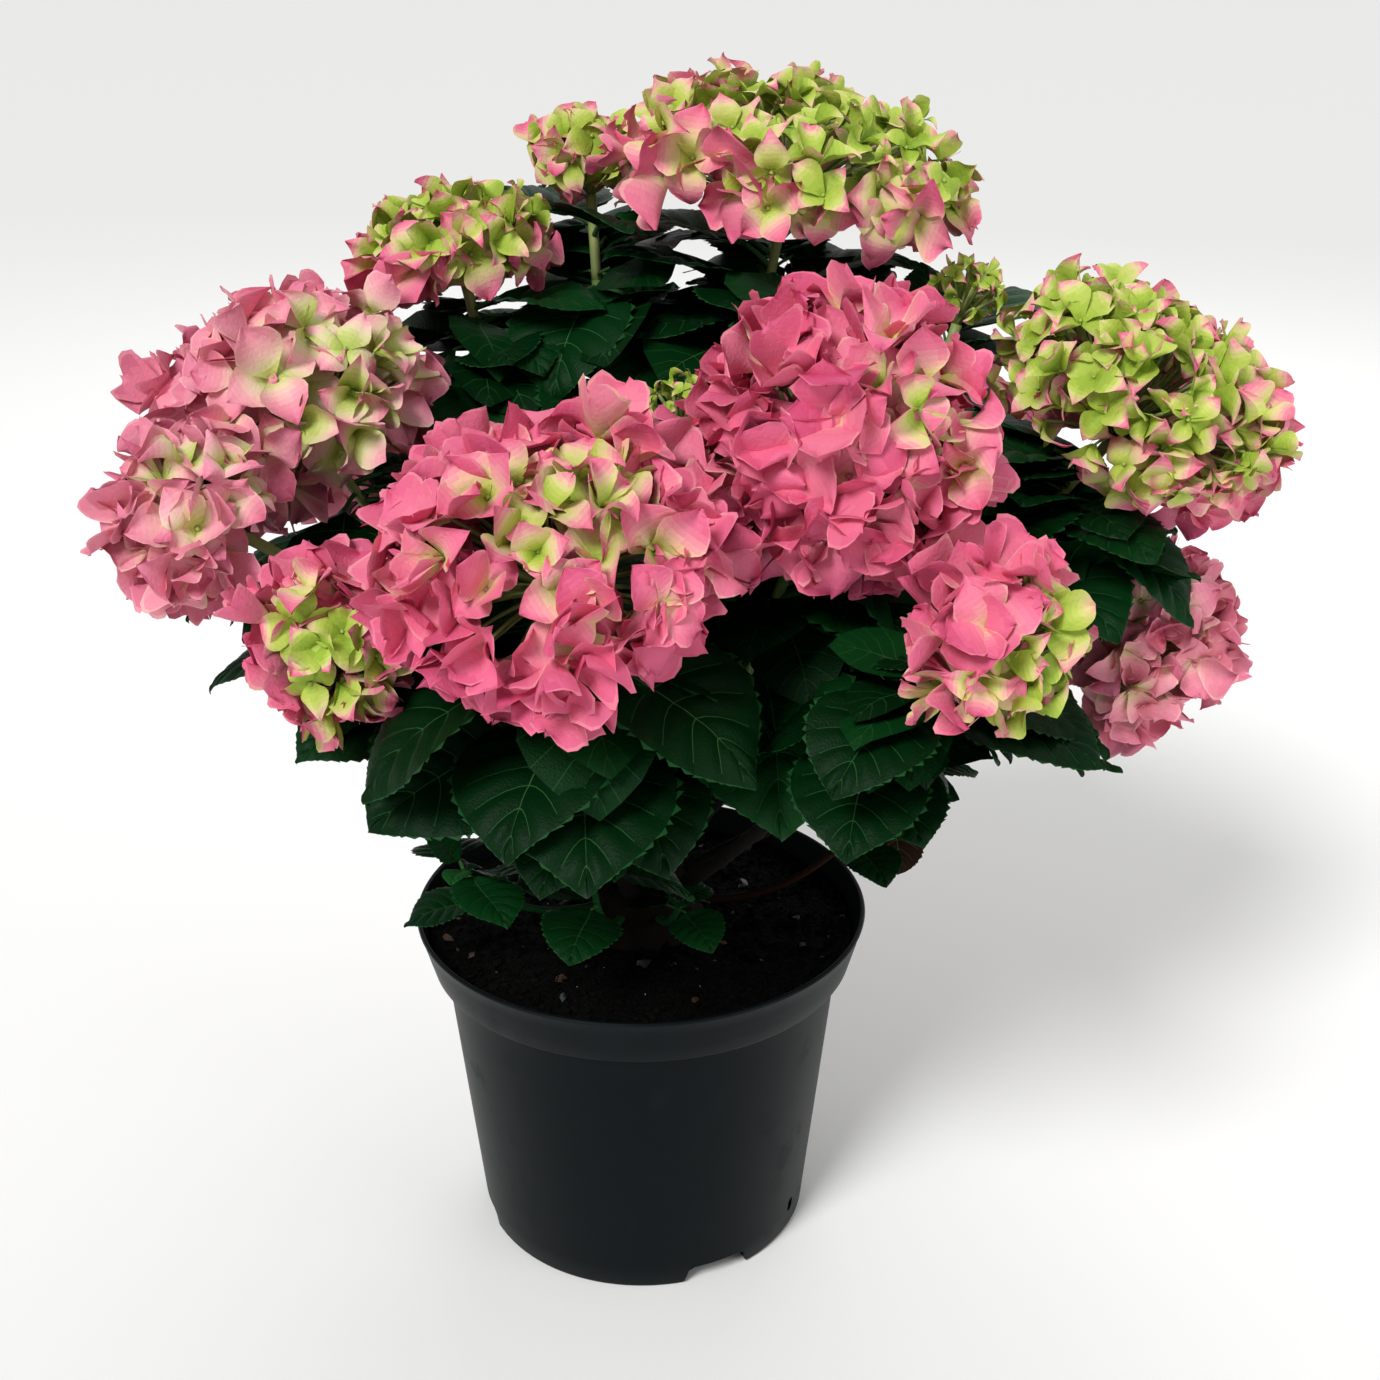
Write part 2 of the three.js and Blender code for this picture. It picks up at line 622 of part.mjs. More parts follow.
// Smaller leaves between the pairs, on short side twigs, wherever the crown has room for them.
SHOOTS.forEach((shoot, i) => {
  const own = stems[i];
  const before = own.pieces.length;
  const random = dice(7000 + 37 * i);
  BETWEEN.places.forEach((place, level) => {
    for (let j = 0; j < BETWEEN.around; j++) {
      const turn = shoot.turn + 45 + 60 * level + (360 / BETWEEN.around) * j;
      const plan = { turn, rise: 16, droop: shoot.droop, lowest: SKIRT };
      addLeaf(own.pieces, own.line.getPoint(place), shoot.leaf * BETWEEN.length, plan, random, others(own));
    }
  });
  noteBlades(own, before);
});
for (const { name, pieces } of [...stems, ...lowStems]) {
  place(name, largestBody(wasm.Manifold.union(pieces)), "leafy");
}

export default shrub;
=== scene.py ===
import math
from collections import namedtuple

import bmesh
import bpy
import numpy as np
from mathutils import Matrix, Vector


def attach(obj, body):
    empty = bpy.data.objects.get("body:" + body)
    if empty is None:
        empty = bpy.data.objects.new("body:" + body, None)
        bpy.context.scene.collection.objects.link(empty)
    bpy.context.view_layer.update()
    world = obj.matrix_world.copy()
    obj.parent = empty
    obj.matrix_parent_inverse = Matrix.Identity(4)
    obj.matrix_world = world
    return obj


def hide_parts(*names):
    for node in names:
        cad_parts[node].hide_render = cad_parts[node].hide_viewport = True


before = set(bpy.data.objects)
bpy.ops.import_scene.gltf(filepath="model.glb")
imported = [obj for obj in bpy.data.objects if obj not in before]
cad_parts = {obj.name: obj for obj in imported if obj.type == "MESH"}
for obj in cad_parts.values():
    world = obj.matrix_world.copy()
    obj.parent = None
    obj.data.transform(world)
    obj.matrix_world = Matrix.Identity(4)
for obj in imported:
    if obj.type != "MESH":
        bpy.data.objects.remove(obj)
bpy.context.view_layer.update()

# ---- Camera, floor and studio light ----
# A plain pale floor under soft studio light: a broad high light from the front on the left, a weak
# one on the right, and one behind the plant.
FLOOR_REACH = 15
MIDDLE_OF_PLANT = Vector((0, 0, 0.35))
scene = bpy.context.scene
camera_data = bpy.data.cameras.new("camera")
camera_data.lens = 49.8
camera = bpy.data.objects.new("camera", camera_data)
camera.location = (0.025, -0.86, 0.67)
camera.rotation_euler = (math.radians(90 - 23.5), 0, 0)
scene.collection.objects.link(camera)
scene.camera = camera
scene.view_settings.view_transform = "Standard"


def paint(sheet, kind, settings=(), links=()):
    """Adds a shader node with its settings, and links its inputs to other nodes' outputs."""
    node = sheet.node_tree.nodes.new("ShaderNode" + kind)
    for key, value in dict(settings).items():
        if hasattr(node, key):
            setattr(node, key, value)
        else:
            node.inputs[key].default_value = value
    for key, output in dict(links).items():
        sheet.node_tree.links.new(output, node.inputs[key])
    return node


def linear(hex_colour):
    """An sRGB hex colour as linear red, green, blue and alpha."""
    parts = [int(hex_colour[i : i + 2], 16) / 255 for i in (1, 3, 5)]
    return [p / 12.92 if p <= 0.04045 else ((p + 0.055) / 1.055) ** 2.4 for p in parts] + [1.0]


def new_material(name):
    material = bpy.data.materials.new(name)
    material.use_nodes = True
    material.node_tree.nodes.clear()
    return material


def seal(material, settings, links=()):
    """Puts the finished shader on the surface."""
    shader = paint(material, "BsdfPrincipled", settings, links)
    paint(material, "OutputMaterial", links={"Surface": shader.outputs[0]})
    return material


# Matt seamless paper: pale, with hardly any shine, so that it only takes the soft shadow.
paper = new_material("studio_paper")
seal(paper, {"Base Color": linear("#f3f3f1"), "Roughness": 0.9})
floor_corners = [(x * FLOOR_REACH, y * FLOOR_REACH, 0) for x, y in ((-1, -1), (1, -1), (1, 1), (-1, 1))]
floor_mesh = bpy.data.meshes.new("studio_floor")
floor_mesh.from_pydata(floor_corners, [], [(0, 1, 2, 3)])
floor_mesh.materials.append(paper)
studio_floor = bpy.data.objects.new("studio_floor", floor_mesh)
scene.collection.objects.link(studio_floor)

sky = bpy.data.worlds.new("studio_air")
sky.use_nodes = True
air = sky.node_tree.nodes["Background"].inputs
air["Color"].default_value, air["Strength"].default_value = (0.98, 0.99, 1.0, 1), 0.4
scene.world = sky

# Each lamp's kind, place, width (the sun's in radians) and power; each is aimed at the plant's middle.
for lamp_name, kind, place, width, power in (
    ("key_lamp", "SUN", (-0.55, -0.9, 1.35), 0.35, 2.5),
    ("fill_lamp", "AREA", (1.6, -1.0, 0.9), 1.2, 7),
    ("back_lamp", "AREA", (0.3, 1.5, 1.7), 1.4, 14),
):
    lamp = bpy.data.lights.new(lamp_name, kind)
    if kind == "SUN":
        lamp.angle = width
    else:
        lamp.size = width
    lamp.energy = power
    lamp_object = bpy.data.objects.new(lamp_name, lamp)
    lamp_object.location = place
    aim = MIDDLE_OF_PLANT - Vector(place)
    lamp_object.rotation_euler = aim.to_track_quat("-Z", "Y").to_euler()
    scene.collection.objects.link(lamp_object)


# ---- The nursery pot ----
# A round nursery pot moulded in black polypropylene: a thin drafted wall, a deep stepped collar to lift
# it by, a rounded lip, and drain notches where the foot's corner is cut away.
MM = 0.001
POT = {"rim": 115, "height": 178, "base": 86, "wall": 1.8, "floor": 2.5}
COLLAR = {"height": 26, "foot": 108, "step": 6.5}
NOTCH = {"angles": (27, -75, 105, -153), "width": 38, "top_width": 28, "height": 10, "depth": 15}
SLOT = {"angles": (63, 156, -111), "width": 5, "height": 8, "rise": 12, "depth": 8}
POT_SIDES = 144
SHARP_FROM = 34
WALL_TOP = COLLAR["foot"] - COLLAR["step"]
LEDGE = POT["height"] - COLLAR["height"]


def grid_faces(rows, columns, closed=False):
    """Quads between the points of a grid, row by row. A closed grid's last column joins its first."""
    strips = columns if closed else columns - 1
    row, column = np.meshgrid(np.arange(rows - 1), np.arange(strips), indexing="ij")
    right = (column + 1) % columns
    a, b = row * columns + column, row * columns + right
    return np.stack([a, b, b + columns, a + columns], axis=-1).reshape(-1, 4)


def add_piece(name, points, faces, nodes, materials, tints=None, smooth=True):
    """Makes a mesh piece in metres that rides on the root body and stands for CAD nodes."""
    mesh = bpy.data.meshes.new(name)
    mesh.from_pydata(np.asarray(points, float).tolist(), [], [list(map(int, face)) for face in faces])
    for material in materials:
        mesh.materials.append(material)
    if tints is not None:
        mesh.polygons.foreach_set("material_index", np.asarray(tints, np.int32))
    mesh.polygons.foreach_set("use_smooth", np.full(len(mesh.polygons), smooth))
    mesh.validate()
    piece = bpy.data.objects.new(name, mesh)
    scene.collection.objects.link(piece)
    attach(piece, "root")
    if nodes:
        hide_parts(*nodes)
    return piece


# Half of the pot's section: up the outside from the middle of the floor to the lip, then down inside.
BASE, RIM, LIP, BELLY = POT["base"], POT["rim"], POT["height"], COLLAR["foot"]
pot_profile = [(0, 0.0), (60, 0.0), (BASE - 2.4, 0.0), (BASE - 0.9, 0.5), (BASE, 2.0)]
for share in np.linspace(0.08, 0.985, 12):
    pot_profile.append((BASE + (WALL_TOP - BASE) * share, 2 + (LEDGE - 3.5) * share))
pot_profile += [
    (WALL_TOP + 0.1, LEDGE - 2.2), (WALL_TOP + 0.9, LEDGE - 1.1),
    (BELLY - 1.8, LEDGE - 0.2), (BELLY - 0.5, LEDGE + 0.2), (BELLY + 0.1, LEDGE + 1.2),
    (BELLY + 2.3, LEDGE + 9), (BELLY + 4.7, LEDGE + 17.5),
    (RIM - 0.9, LIP - 3.0), (RIM - 0.2, LIP - 2.0), (RIM, LIP - 1.1), (RIM - 0.5, LIP - 0.2),
    (RIM - 1.3, LIP), (RIM - 2.2, LIP - 0.4), (RIM - 2.6, LIP - 1.4),
    (BELLY + 1.6, LEDGE + 12), (BELLY - 1.8, LEDGE + 2.2), (WALL_TOP - 1.2, LEDGE + 0.4),
    (WALL_TOP - POT["wall"], LEDGE - 1.5), (BASE - POT["wall"], 5.0), (BASE - 3.4, POT["floor"]),
    (40, POT["floor"]), (0, POT["floor"]),
]


def level_ring(turns, radius, height):
    """A ring of points round the upright axis."""
    return np.stack([radius * np.cos(turns), radius * np.sin(turns), height + 0 * turns], 1)


def close_rings(rings, first_height, last_height):
    """Points and faces of stacked rings, closed by a point on the axis at either end."""
    sides = len(rings[0])
    points = np.concatenate(rings + [[(0, 0, first_height), (0, 0, last_height)]])
    faces = grid_faces(len(rings), sides, closed=True).tolist()
    first, last, last_ring = len(points) - 2, len(points) - 1, (len(rings) - 1) * sides
    faces += [[first, (i + 1) % sides, i] for i in range(sides)]
    faces += [[last, last_ring + i, last_ring + (i + 1) % sides] for i in range(sides)]
    return points, faces


def turn_profile(profile, sides):
    """Points and faces of a turned shape whose profile starts and ends on the axis."""
    turns = np.linspace(0, 2 * np.pi, sides, endpoint=False)
    rings = [level_ring(turns, radius, height) for radius, height in profile[1:-1]]
    return close_rings(rings, profile[0][1], profile[-1][1])


# Moulded polypropylene: nearly black with a cold cast, satin, with dull scuffs where pots have rubbed.
plastic = new_material("moulded_black_polypropylene")
place_on_pot = paint(plastic, "TexCoord").outputs["Object"]
scuff = paint(plastic, "TexNoise", {"Scale": 24, "Detail": 6, "Roughness": 0.7}, {"Vector": place_on_pot})
scuff_mask = paint(plastic, "ValToRGB", links={"Fac": scuff.outputs["Fac"]})
scuff_mask.color_ramp.elements[0].position = 0.56
scuff_mask.color_ramp.elements[1].position = 0.78
body_colour = paint(plastic, "Mix", {"data_type": "RGBA"}, {"Factor": scuff_mask.outputs["Color"]})
body_colour.inputs[6].default_value = linear("#080c0e")
body_colour.inputs[7].default_value = linear("#101618")
satin = paint(plastic, "MapRange", {"To Min": 0.42, "To Max": 0.62}, {"Value": scuff_mask.outputs["Color"]})
grain = paint(plastic, "TexNoise", {"Scale": 700, "Detail": 3}, {"Vector": place_on_pot})
skin = paint(plastic, "Bump", {"Strength": 0.05, "Distance": 0.0004}, {"Height": grain.outputs["Fac"]})
seal(
    plastic, {"IOR": 1.36, "Specular IOR Level": 0.16, "Specular Tint": (0.75, 0.93, 1, 1)},
    {"Base Color": body_colour.outputs[2], "Roughness": satin.outputs[0], "Normal": skin.outputs[0]},
)

pot_points, pot_faces = turn_profile(pot_profile, POT_SIDES)
pot_piece = add_piece("pot_shell", pot_points * MM, pot_faces, ["pot"], [plastic])


def cut_through_wall(outline, angle, depth):
    """A block for cutting an outline, in mm on the wall, out of the pot at an angle from its front."""
    near, far = -(BASE - depth), -(BASE + 14)
    points = [(x, y, z) for y in (near, far) for x, z in outline]
    c, s = math.cos(math.radians(angle)), math.sin(math.radians(angle))
    points = [((x * c - y * s) * MM, (x * s + y * c) * MM, z * MM) for x, y, z in points]
    count = len(outline)
    faces = [(i, (i + 1) % count, count + (i + 1) % count, count + i) for i in range(count)]
    faces += [tuple(range(count))[::-1], tuple(range(count, 2 * count))]
    mesh = bpy.data.meshes.new("cutter")
    mesh.from_pydata(points, [], faces)
    shell = bmesh.new()
    shell.from_mesh(mesh)
    bmesh.ops.recalc_face_normals(shell, faces=shell.faces)
    shell.to_mesh(mesh)
    shell.free()
    return mesh


# The notches are open at the foot and narrow upwards; the drain slots are small ovals.
cutters = []
for angle in NOTCH["angles"]:
    half, top, high = NOTCH["width"] / 2, NOTCH["top_width"] / 2, NOTCH["height"]
    notch = [(-half, -1), (half, -1), (half - 1, 1.5), (top + 2, high - 2), (top - 1, high)]
    notch += [(-top + 1, high), (-top - 2, high - 2), (-half + 1, 1.5)]
    cutters.append(cut_through_wall(notch, angle, NOTCH["depth"]))
for angle in SLOT["angles"]:
    half, low, high = SLOT["width"] / 2, SLOT["rise"], SLOT["rise"] + SLOT["height"]
    oval = [(-half, low + 1.5), (-half + 1.5, low), (half - 1.5, low), (half, low + 1.5)]
    oval += [(half, high - 1.5), (half - 1.5, high), (-half + 1.5, high), (-half, high - 1.5)]
    cutters.append(cut_through_wall(oval, angle, SLOT["depth"]))
for mesh in cutters:
    cutter = bpy.data.objects.new("cutter", mesh)
    scene.collection.objects.link(cutter)
    modifier = pot_piece.modifiers.new("cut", "BOOLEAN")
    modifier.operation = "DIFFERENCE"
    modifier.solver = "EXACT"
    modifier.object = cutter
    bpy.context.view_layer.update()
    cut_pot = pot_piece.evaluated_get(bpy.context.evaluated_depsgraph_get())
    cut_mesh = bpy.data.meshes.new_from_object(cut_pot)
    pot_piece.modifiers.clear()
    pot_piece.data = cut_mesh
    bpy.data.objects.remove(cutter)
pot_piece.data.set_sharp_from_angle(angle=math.radians(SHARP_FROM))


# ---- The compost ----
# A dark, crumbly, uneven bed of moist peat, flecked with white perlite, grey grit and orange bark chips.
COMPOST_TOP = POT["height"] - 11
BED = {"rings": 70, "sides": 160, "edge": 108.2, "foot": 3}


def lumps(x, y, seed, scale):
    """A smooth random height at each point, from a few crossed waves."""
    chance = np.random.default_rng(seed)
    height = np.zeros_like(x)
    for octave in range(1, 5):
        for wave in range(5):
            heading, phase = chance.uniform(0, 6.28, 2)
            pace = octave ** 1.4 * scale * chance.uniform(0.7, 1.3)
            height += np.sin((x * math.cos(heading) + y * math.sin(heading)) * pace + phase) / octave / 5
    return height


def bed_height(x, y):
    """How high the bed stands at each point: broad swells under small crumbly ones."""
    return COMPOST_TOP - 1.4 + 2.2 * lumps(x, y, 3, 0.09) + 1.3 * lumps(x, y, 4, 0.5)


turns = np.linspace(0, 2 * np.pi, BED["sides"], endpoint=False)
bed = []
for i in range(BED["rings"] + 1):
    radius = BED["edge"] * (0.02 + 0.98 * i / BED["rings"])
    bed.append(level_ring(turns, radius, bed_height(radius * np.cos(turns), radius * np.sin(turns))))
# Below the bed's edge the filling follows the pot's inside down to its floor.
for radius, height in (
    (107.6, COMPOST_TOP - 8), (104, LEDGE + 3), (98, LEDGE), (83, 14), (68, 11), (68, BED["foot"]),
):
    bed.append(level_ring(turns, radius, height))
bed_points, bed_faces = close_rings(bed, COMPOST_TOP - 0.5, BED["foot"])

# Moist peat: almost black and dull, broken by crumbs and short fibres.
peat = new_material("moist_peat_compost")
on_peat = paint(peat, "TexCoord").outputs["Object"]
crumb = paint(peat, "TexNoise", {"Scale": 260, "Detail": 6, "Roughness": 0.75}, {"Vector": on_peat})
fibre = paint(peat, "TexVoronoi", {"Scale": 420}, {"Vector": on_peat})
relief = paint(peat, "Math", {"operation": "ADD"}, {0: crumb.outputs[0], 1: fibre.outputs[0]})
rough_bed = paint(peat, "Bump", {"Strength": 1.0, "Distance": 0.002}, {"Height": relief.outputs[0]})
seal(
    peat, {"Base Color": linear("#050403"), "Roughness": 0.8, "Specular IOR Level": 0.07},
    {"Normal": rough_bed.outputs[0]},
)
add_piece("compost_bed", bed_points * MM, bed_faces, ["compost"], [peat])


def plain(name, colour, roughness, bump_scale=0, bump_height=0.0, **settings):
    """A plain coloured material, with a fine noise relief where bump_scale is given."""
    material = new_material(name)
    links = {}
    if bump_scale:
        place = paint(material, "TexCoord").outputs["Object"]
        noise = paint(material, "TexNoise", {"Scale": bump_scale, "Detail": 4}, {"Vector": place})
        depth = {"Strength": 0.6, "Distance": bump_height}
        links["Normal"] = paint(material, "Bump", depth, {"Height": noise.outputs["Fac"]}).outputs[0]
    values = {"Base Color": linear(colour), "Roughness": roughness}
    values.update({key.replace("_", " "): value for key, value in settings.items()})
    return seal(material, values, links)


class Pile:
    """Many small meshes that become one piece."""

    def __init__(self):
        self.points, self.faces, self.tints, self.count = [], [], [], 0

    def add(self, points, faces, tint=0):
        self.points.append(points)
        self.faces += [[int(i) + self.count for i in face] for face in faces]
        self.tints += list(tint) if np.ndim(tint) else [tint] * len(faces)
        self.count += len(points)

    def make(self, name, slot, nodes, materials, smooth=True):
        points = np.concatenate(self.points) * MM
        return add_piece(name, points, self.faces, nodes, materials, self.tints, smooth)


# Crumbs, grains and chips lie loose on the bed: small lumps with knocked corners.
LUMP = np.array([
    (1, 0, 0), (0, 1, 0), (-1, 0, 0), (0, -1, 0), (0, 0, 1), (0, 0, -1), (0.7, 0.7, 0.6), (-0.7, -0.7, 0.6),
])
LUMP_FACES = np.array([
    (0, 6, 4), (6, 1, 4), (1, 2, 4), (2, 7, 4), (7, 3, 4), (3, 0, 4), (0, 1, 6), (2, 3, 7),
    (1, 0, 5), (2, 1, 5), (3, 2, 5), (0, 3, 5),
])
# Dull peat crumbs, chalky perlite grains, chips of wet grey bark that catch the light, and orange ones.
crumb_kinds = [
    plain("dark_peat_crumb", "#040302", 0.8, 900, 0.0006, Specular_IOR_Level=0.07),
    plain("brown_peat_crumb", "#0c0805", 0.8, 900, 0.0006, Specular_IOR_Level=0.07),
    plain("white_perlite", "#a8a69f", 0.8, 1500, 0.0004),
    plain("wet_grey_chip", "#34383a", 0.28, 800, 0.0006),
    plain("orange_bark_chip", "#3b2011", 0.6, 600, 0.0006),
]
# One row for each kind: how many lie there, the smallest and the largest radius, and how flat they are.
LOOSE = (
    (3000, 0.5, 3.4, 0.7), (700, 0.4, 2.2, 0.6), (30, 0.3, 0.8, 0.9), (26, 1.4, 5.5, 0.35),
    (24, 1.6, 5.0, 0.3),
)
LOOSE_REACH, PROUD = 106, 0.1
crumbs = Pile()
chance = np.random.default_rng(11)
for kind, (number, small, large, flat) in enumerate(LOOSE):
    for _ in range(number):
        radius, heading = LOOSE_REACH * math.sqrt(chance.uniform(0.02, 1)), chance.uniform(0, 2 * math.pi)
        middle = np.array([radius * math.cos(heading), radius * math.sin(heading), PROUD])
        middle[2] += bed_height(middle[:1], middle[1:2])[0]
        size = small + (large - small) * chance.uniform() ** 2.2
        shape = LUMP * chance.uniform(0.6, 1.1, (8, 1)) * (size, size * chance.uniform(0.4, 1), size * flat)
        c, s = math.cos(heading * 7), math.sin(heading * 7)
        tilt = chance.uniform(-0.5, 0.5)
        turned = shape @ np.array([(c, s, 0), (-s, c, 0), (0, 0, 1)])
        tilted = turned @ np.array([(1, 0, tilt), (0, 1, tilt / 2), (-tilt, 0, 1)])
        crumbs.add(middle + tilted, LUMP_FACES, kind)
crumbs.make("compost_crumbs", "compost", [], crumb_kinds, smooth=False)


# ---- The woody base and the canes ----
# The plant's old foot is a knobbly stump of flaking bark. Last year's canes rise from it, each a single
# tapering limb with a ring at every node.
STUMP = {"foot": 34, "neck": 25, "dome": 27, "height": 22, "dome_rise": 8}
CANE = {"ends": (4.0, 3.1), "nodes": (0.13, 0.27, 0.39), "ring": 0.7, "ring_length": 0.008}
CLEAR = 0.3
STUMP_FOOT = COMPOST_TOP + CLEAR
DOME_MIDDLE = np.array([0, 0, STUMP_FOOT + STUMP["height"] - STUMP["dome_rise"]])
# Where on a shoot its cane and its leafy part end, and how its curve is steered.
CANE_END, LEAFY_END = 0.46, 0.86
STEER = {"off_stump": 0.16, "into_head": 0.36, "below_middle": 0.28}
UP = np.array([0.0, 0.0, 1.0])

# One row for each shoot: the middle of its flower head, the head's radius and half its height, which way
# the head faces (degrees from straight up, and the heading), where its cane leaves the stump's dome
# (heading, and degrees up from level), and the turn, length and droop of its leaves.
Shoot = namedtuple("Shoot", "at radius half tilt heading foot turn leaf droop")
SHOOTS = {}
for name, middle, *numbers in (
    ("front", (-29, -150, 420), 77, 52, 26, -95, (-99, 30), -75, 132, 84),
    ("mid_right", (86, -98, 451), 67, 68, 34, -70, (-47, 57), -58, 132, 88),
    ("top_left", (-26, 122, 534), 33, 27, 12, 110, (150, 77), -70, 130, 80),
    ("top", (75, 100, 532), 95, 44, 11, -20, (56, 57), -110, 140, 70),
    ("upper_left", (-90, 90, 496), 56, 31, 12, 165, (128, 57), -84, 124, 76),
    ("bud_right", (158, 60, 479), 21, 20, 14, 20, (30, 77), -75, 124, 70),
    ("bud_middle", (20, 0, 439), 17, 21, 10, -90, (-90, 77), 110, 110, 70),
    ("left", (-158, 2, 434), 73, 62, 34, 190, (180, 57), -110, 116, 80),
    ("right", (238, 18, 437), 81, 50, 33, -10, (10, 57), -74, 122, 76),
    ("small_right", (142, -170, 392), 40, 43, 48, -65, (-55, 30), 65, 88, 56),
    ("far_right", (248, 42, 304), 52, 63, 60, 5, (4, 30), -50, 96, 40),
    ("low_left", (-122, -121, 371), 39, 46, 56, -125, (228, 30), 5, 96, 70),
    ("outer_left", (-187, -84, 413), 40, 39, 62, 205, (196, 30), 20, 76, 60),
    ("back", (30, 205, 372), 72, 56, 42, 84, (86, 30), 30, 122, 66),
    ("back_left", (-138, 152, 372), 68, 54, 46, 132, (134, 30), 100, 118, 70),
    ("back_right", (160, 168, 374), 70, 56, 46, 46, (44, 30), 10, 120, 70),
):
    SHOOTS[name] = Shoot(np.array(middle, float), *numbers)


def heading_of(degrees):
    return np.array([math.cos(math.radians(degrees)), math.sin(math.radians(degrees)), 0.0])


def leaning(tilt, heading):
    """A unit vector that leans from straight up by tilt degrees towards a heading."""
    return heading_of(heading) * math.sin(math.radians(tilt)) + UP * math.cos(math.radians(tilt))


def square_to(axis):
    """Two unit vectors square to an axis, the first one level."""
    level = np.array([-axis[1], axis[0], 0.0])
    if np.linalg.norm(level) < 1e-6:
        level = np.array([1.0, 0.0, 0.0])
    level /= np.linalg.norm(level)
    return level, np.cross(axis, level)


def bend(corners, share):
    """Points on the smooth curve that its corner points steer, at shares of its length."""
    share = np.atleast_1d(np.asarray(share, float))[:, None]
    if len(corners) == 3:
        a, b, c = corners
        return a * (1 - share) ** 2 + 2 * b * share * (1 - share) + c * share**2
    a, b, c, d = corners
    left = 1 - share
    return a * left**3 + 3 * b * share * left**2 + 3 * c * share**2 * left + d * share**3


def shoot_line(shoot):
    """The corners of a shoot's curve, from just off the stump's dome into its flower head."""
    axis = leaning(shoot.tilt, shoot.heading)
    end = shoot.at - axis * shoot.half * STEER["below_middle"]
    outward = leaning(90 - shoot.foot[1], shoot.foot[0])
    start = DOME_MIDDLE + outward * (STUMP["dome"] + CLEAR)
    reach = np.linalg.norm(end - start)
    leaving, arriving = outward * reach * STEER["off_stump"], axis * reach * STEER["into_head"]
    return [start, start + leaving, end - arriving, end]


def tube(path, radii, sides, wobble=0.0, seed=0):
    """Points and faces of a closed tube along a path, tapering and a little uneven."""
    path = np.asarray(path, float)
    ahead = np.gradient(path, axis=0)
    ahead /= np.linalg.norm(ahead, axis=1)[:, None]
    over = np.zeros_like(path)
    first = square_to(ahead[0])[0]
    for i, direction in enumerate(ahead):
        first = first - direction * np.dot(first, direction)
        first /= np.linalg.norm(first)
        over[i] = first
    side = np.cross(ahead, over)
    turns = np.linspace(0, 2 * np.pi, sides, endpoint=False)
    uneven = wobble * np.random.default_rng(seed).uniform(-1, 1, (len(path), sides))
    radii = np.broadcast_to(radii, len(path))[:, None] * (1 + uneven)
    ring = over[:, None] * np.cos(turns)[None, :, None] + side[:, None] * np.sin(turns)[None, :, None]
    points = (path[:, None] + ring * radii[..., None]).reshape(-1, 3)
    last = (len(path) - 1) * sides
    faces = grid_faces(len(path), sides, closed=True).tolist()
    faces += [list(range(sides))[::-1], [last + i for i in range(sides)]]
    return points, faces


def limb(line, shares, size, sides, wobble, seed):
    """A tapering limb along a part of a shoot's curve, with a ring at every node."""
    radii = np.linspace(*size["ends"], len(shares))
    for place in size["nodes"]:
        radii = radii + size["ring"] * np.exp(-(((shares - place) / size["ring_length"]) ** 2))
    return tube(bend(line, shares), radii, sides, wobble, seed)


# Thin bark that flakes along the cane: dull, with a long-grained relief. Its own dark brown is darkened
# almost to black as painted shade, for the stump and canes that sit in the crown's shadow.
bark = new_material("flaking_cane_bark")
on_bark = paint(bark, "TexCoord").outputs["Object"]
long_ways = paint(bark, "Mapping", {"Scale": (1, 1, 0.12)}, {"Vector": on_bark})
flakes = paint(
    bark, "TexNoise", {"Scale": 420, "Detail": 5, "Roughness": 0.7}, {"Vector": long_ways.outputs[0]},
)
ridges = paint(bark, "Bump", {"Strength": 0.9, "Distance": 0.0012}, {"Height": flakes.outputs["Fac"]})
seal(
    # The near-black base colour is partly the bark's own brown and partly painted shade from the crown
    # above.
    bark, {"Base Color": linear("#120d09"), "Roughness": 0.9, "Specular IOR Level": 0.15},
    {"Normal": ridges.outputs[0]},
)

# The stump's flare and neck, and then its dome, kept just inside the place where the canes begin.
stump_profile = [(0, STUMP_FOOT), (STUMP["foot"] * 0.99, STUMP_FOOT), (STUMP["foot"] - 2, STUMP_FOOT + 1.5)]
stump_profile += [(STUMP["neck"] + 2.5, STUMP_FOOT + 4.2), (STUMP["neck"] + 0.4, DOME_MIDDLE[2] - 6)]
dome = STUMP["dome"] * 0.985
for lift in np.radians(np.linspace(-8, 84, 14)):
    stump_profile.append((dome * math.cos(lift), DOME_MIDDLE[2] + dome * math.sin(lift)))
stump_profile.append((0, DOME_MIDDLE[2] + dome))
stump_points, stump_faces = turn_profile(stump_profile, 64)
around = np.arctan2(stump_points[:, 1], stump_points[:, 0])
knobs = 1 + 0.018 * np.sin(7 * around + stump_points[:, 2] * 0.3) + 0.014 * np.sin(13 * around + 1.7)
knobs += 0.012 * np.sin(stump_points[:, 2] * 1.1 + 3 * around)
stump_points[:, :2] *= knobs[:, None]
add_piece("woody_base", stump_points * MM, stump_faces, ["stump"], [bark])

canes = Pile()
for number, shoot in enumerate(SHOOTS.values()):
    shares = np.linspace(0, CANE_END, 34)
    canes.add(*limb(shoot_line(shoot), shares, CANE, 12, 0.05, number))
canes.make("bark_canes", "bark", [f"cane_{name}" for name in SHOOTS], [bark])


# ---- Leaves ----
# Broad oval leaves with toothed edges, in crossed pairs up each green stem: leathery and dark, quilted
# between sunken side veins, and finely edged in paler green.
WIDTH, PETIOLE, FOLD = 0.68, 0.2, 0.1
STALK, FULL_STALK = (1.7, 1.15), 90
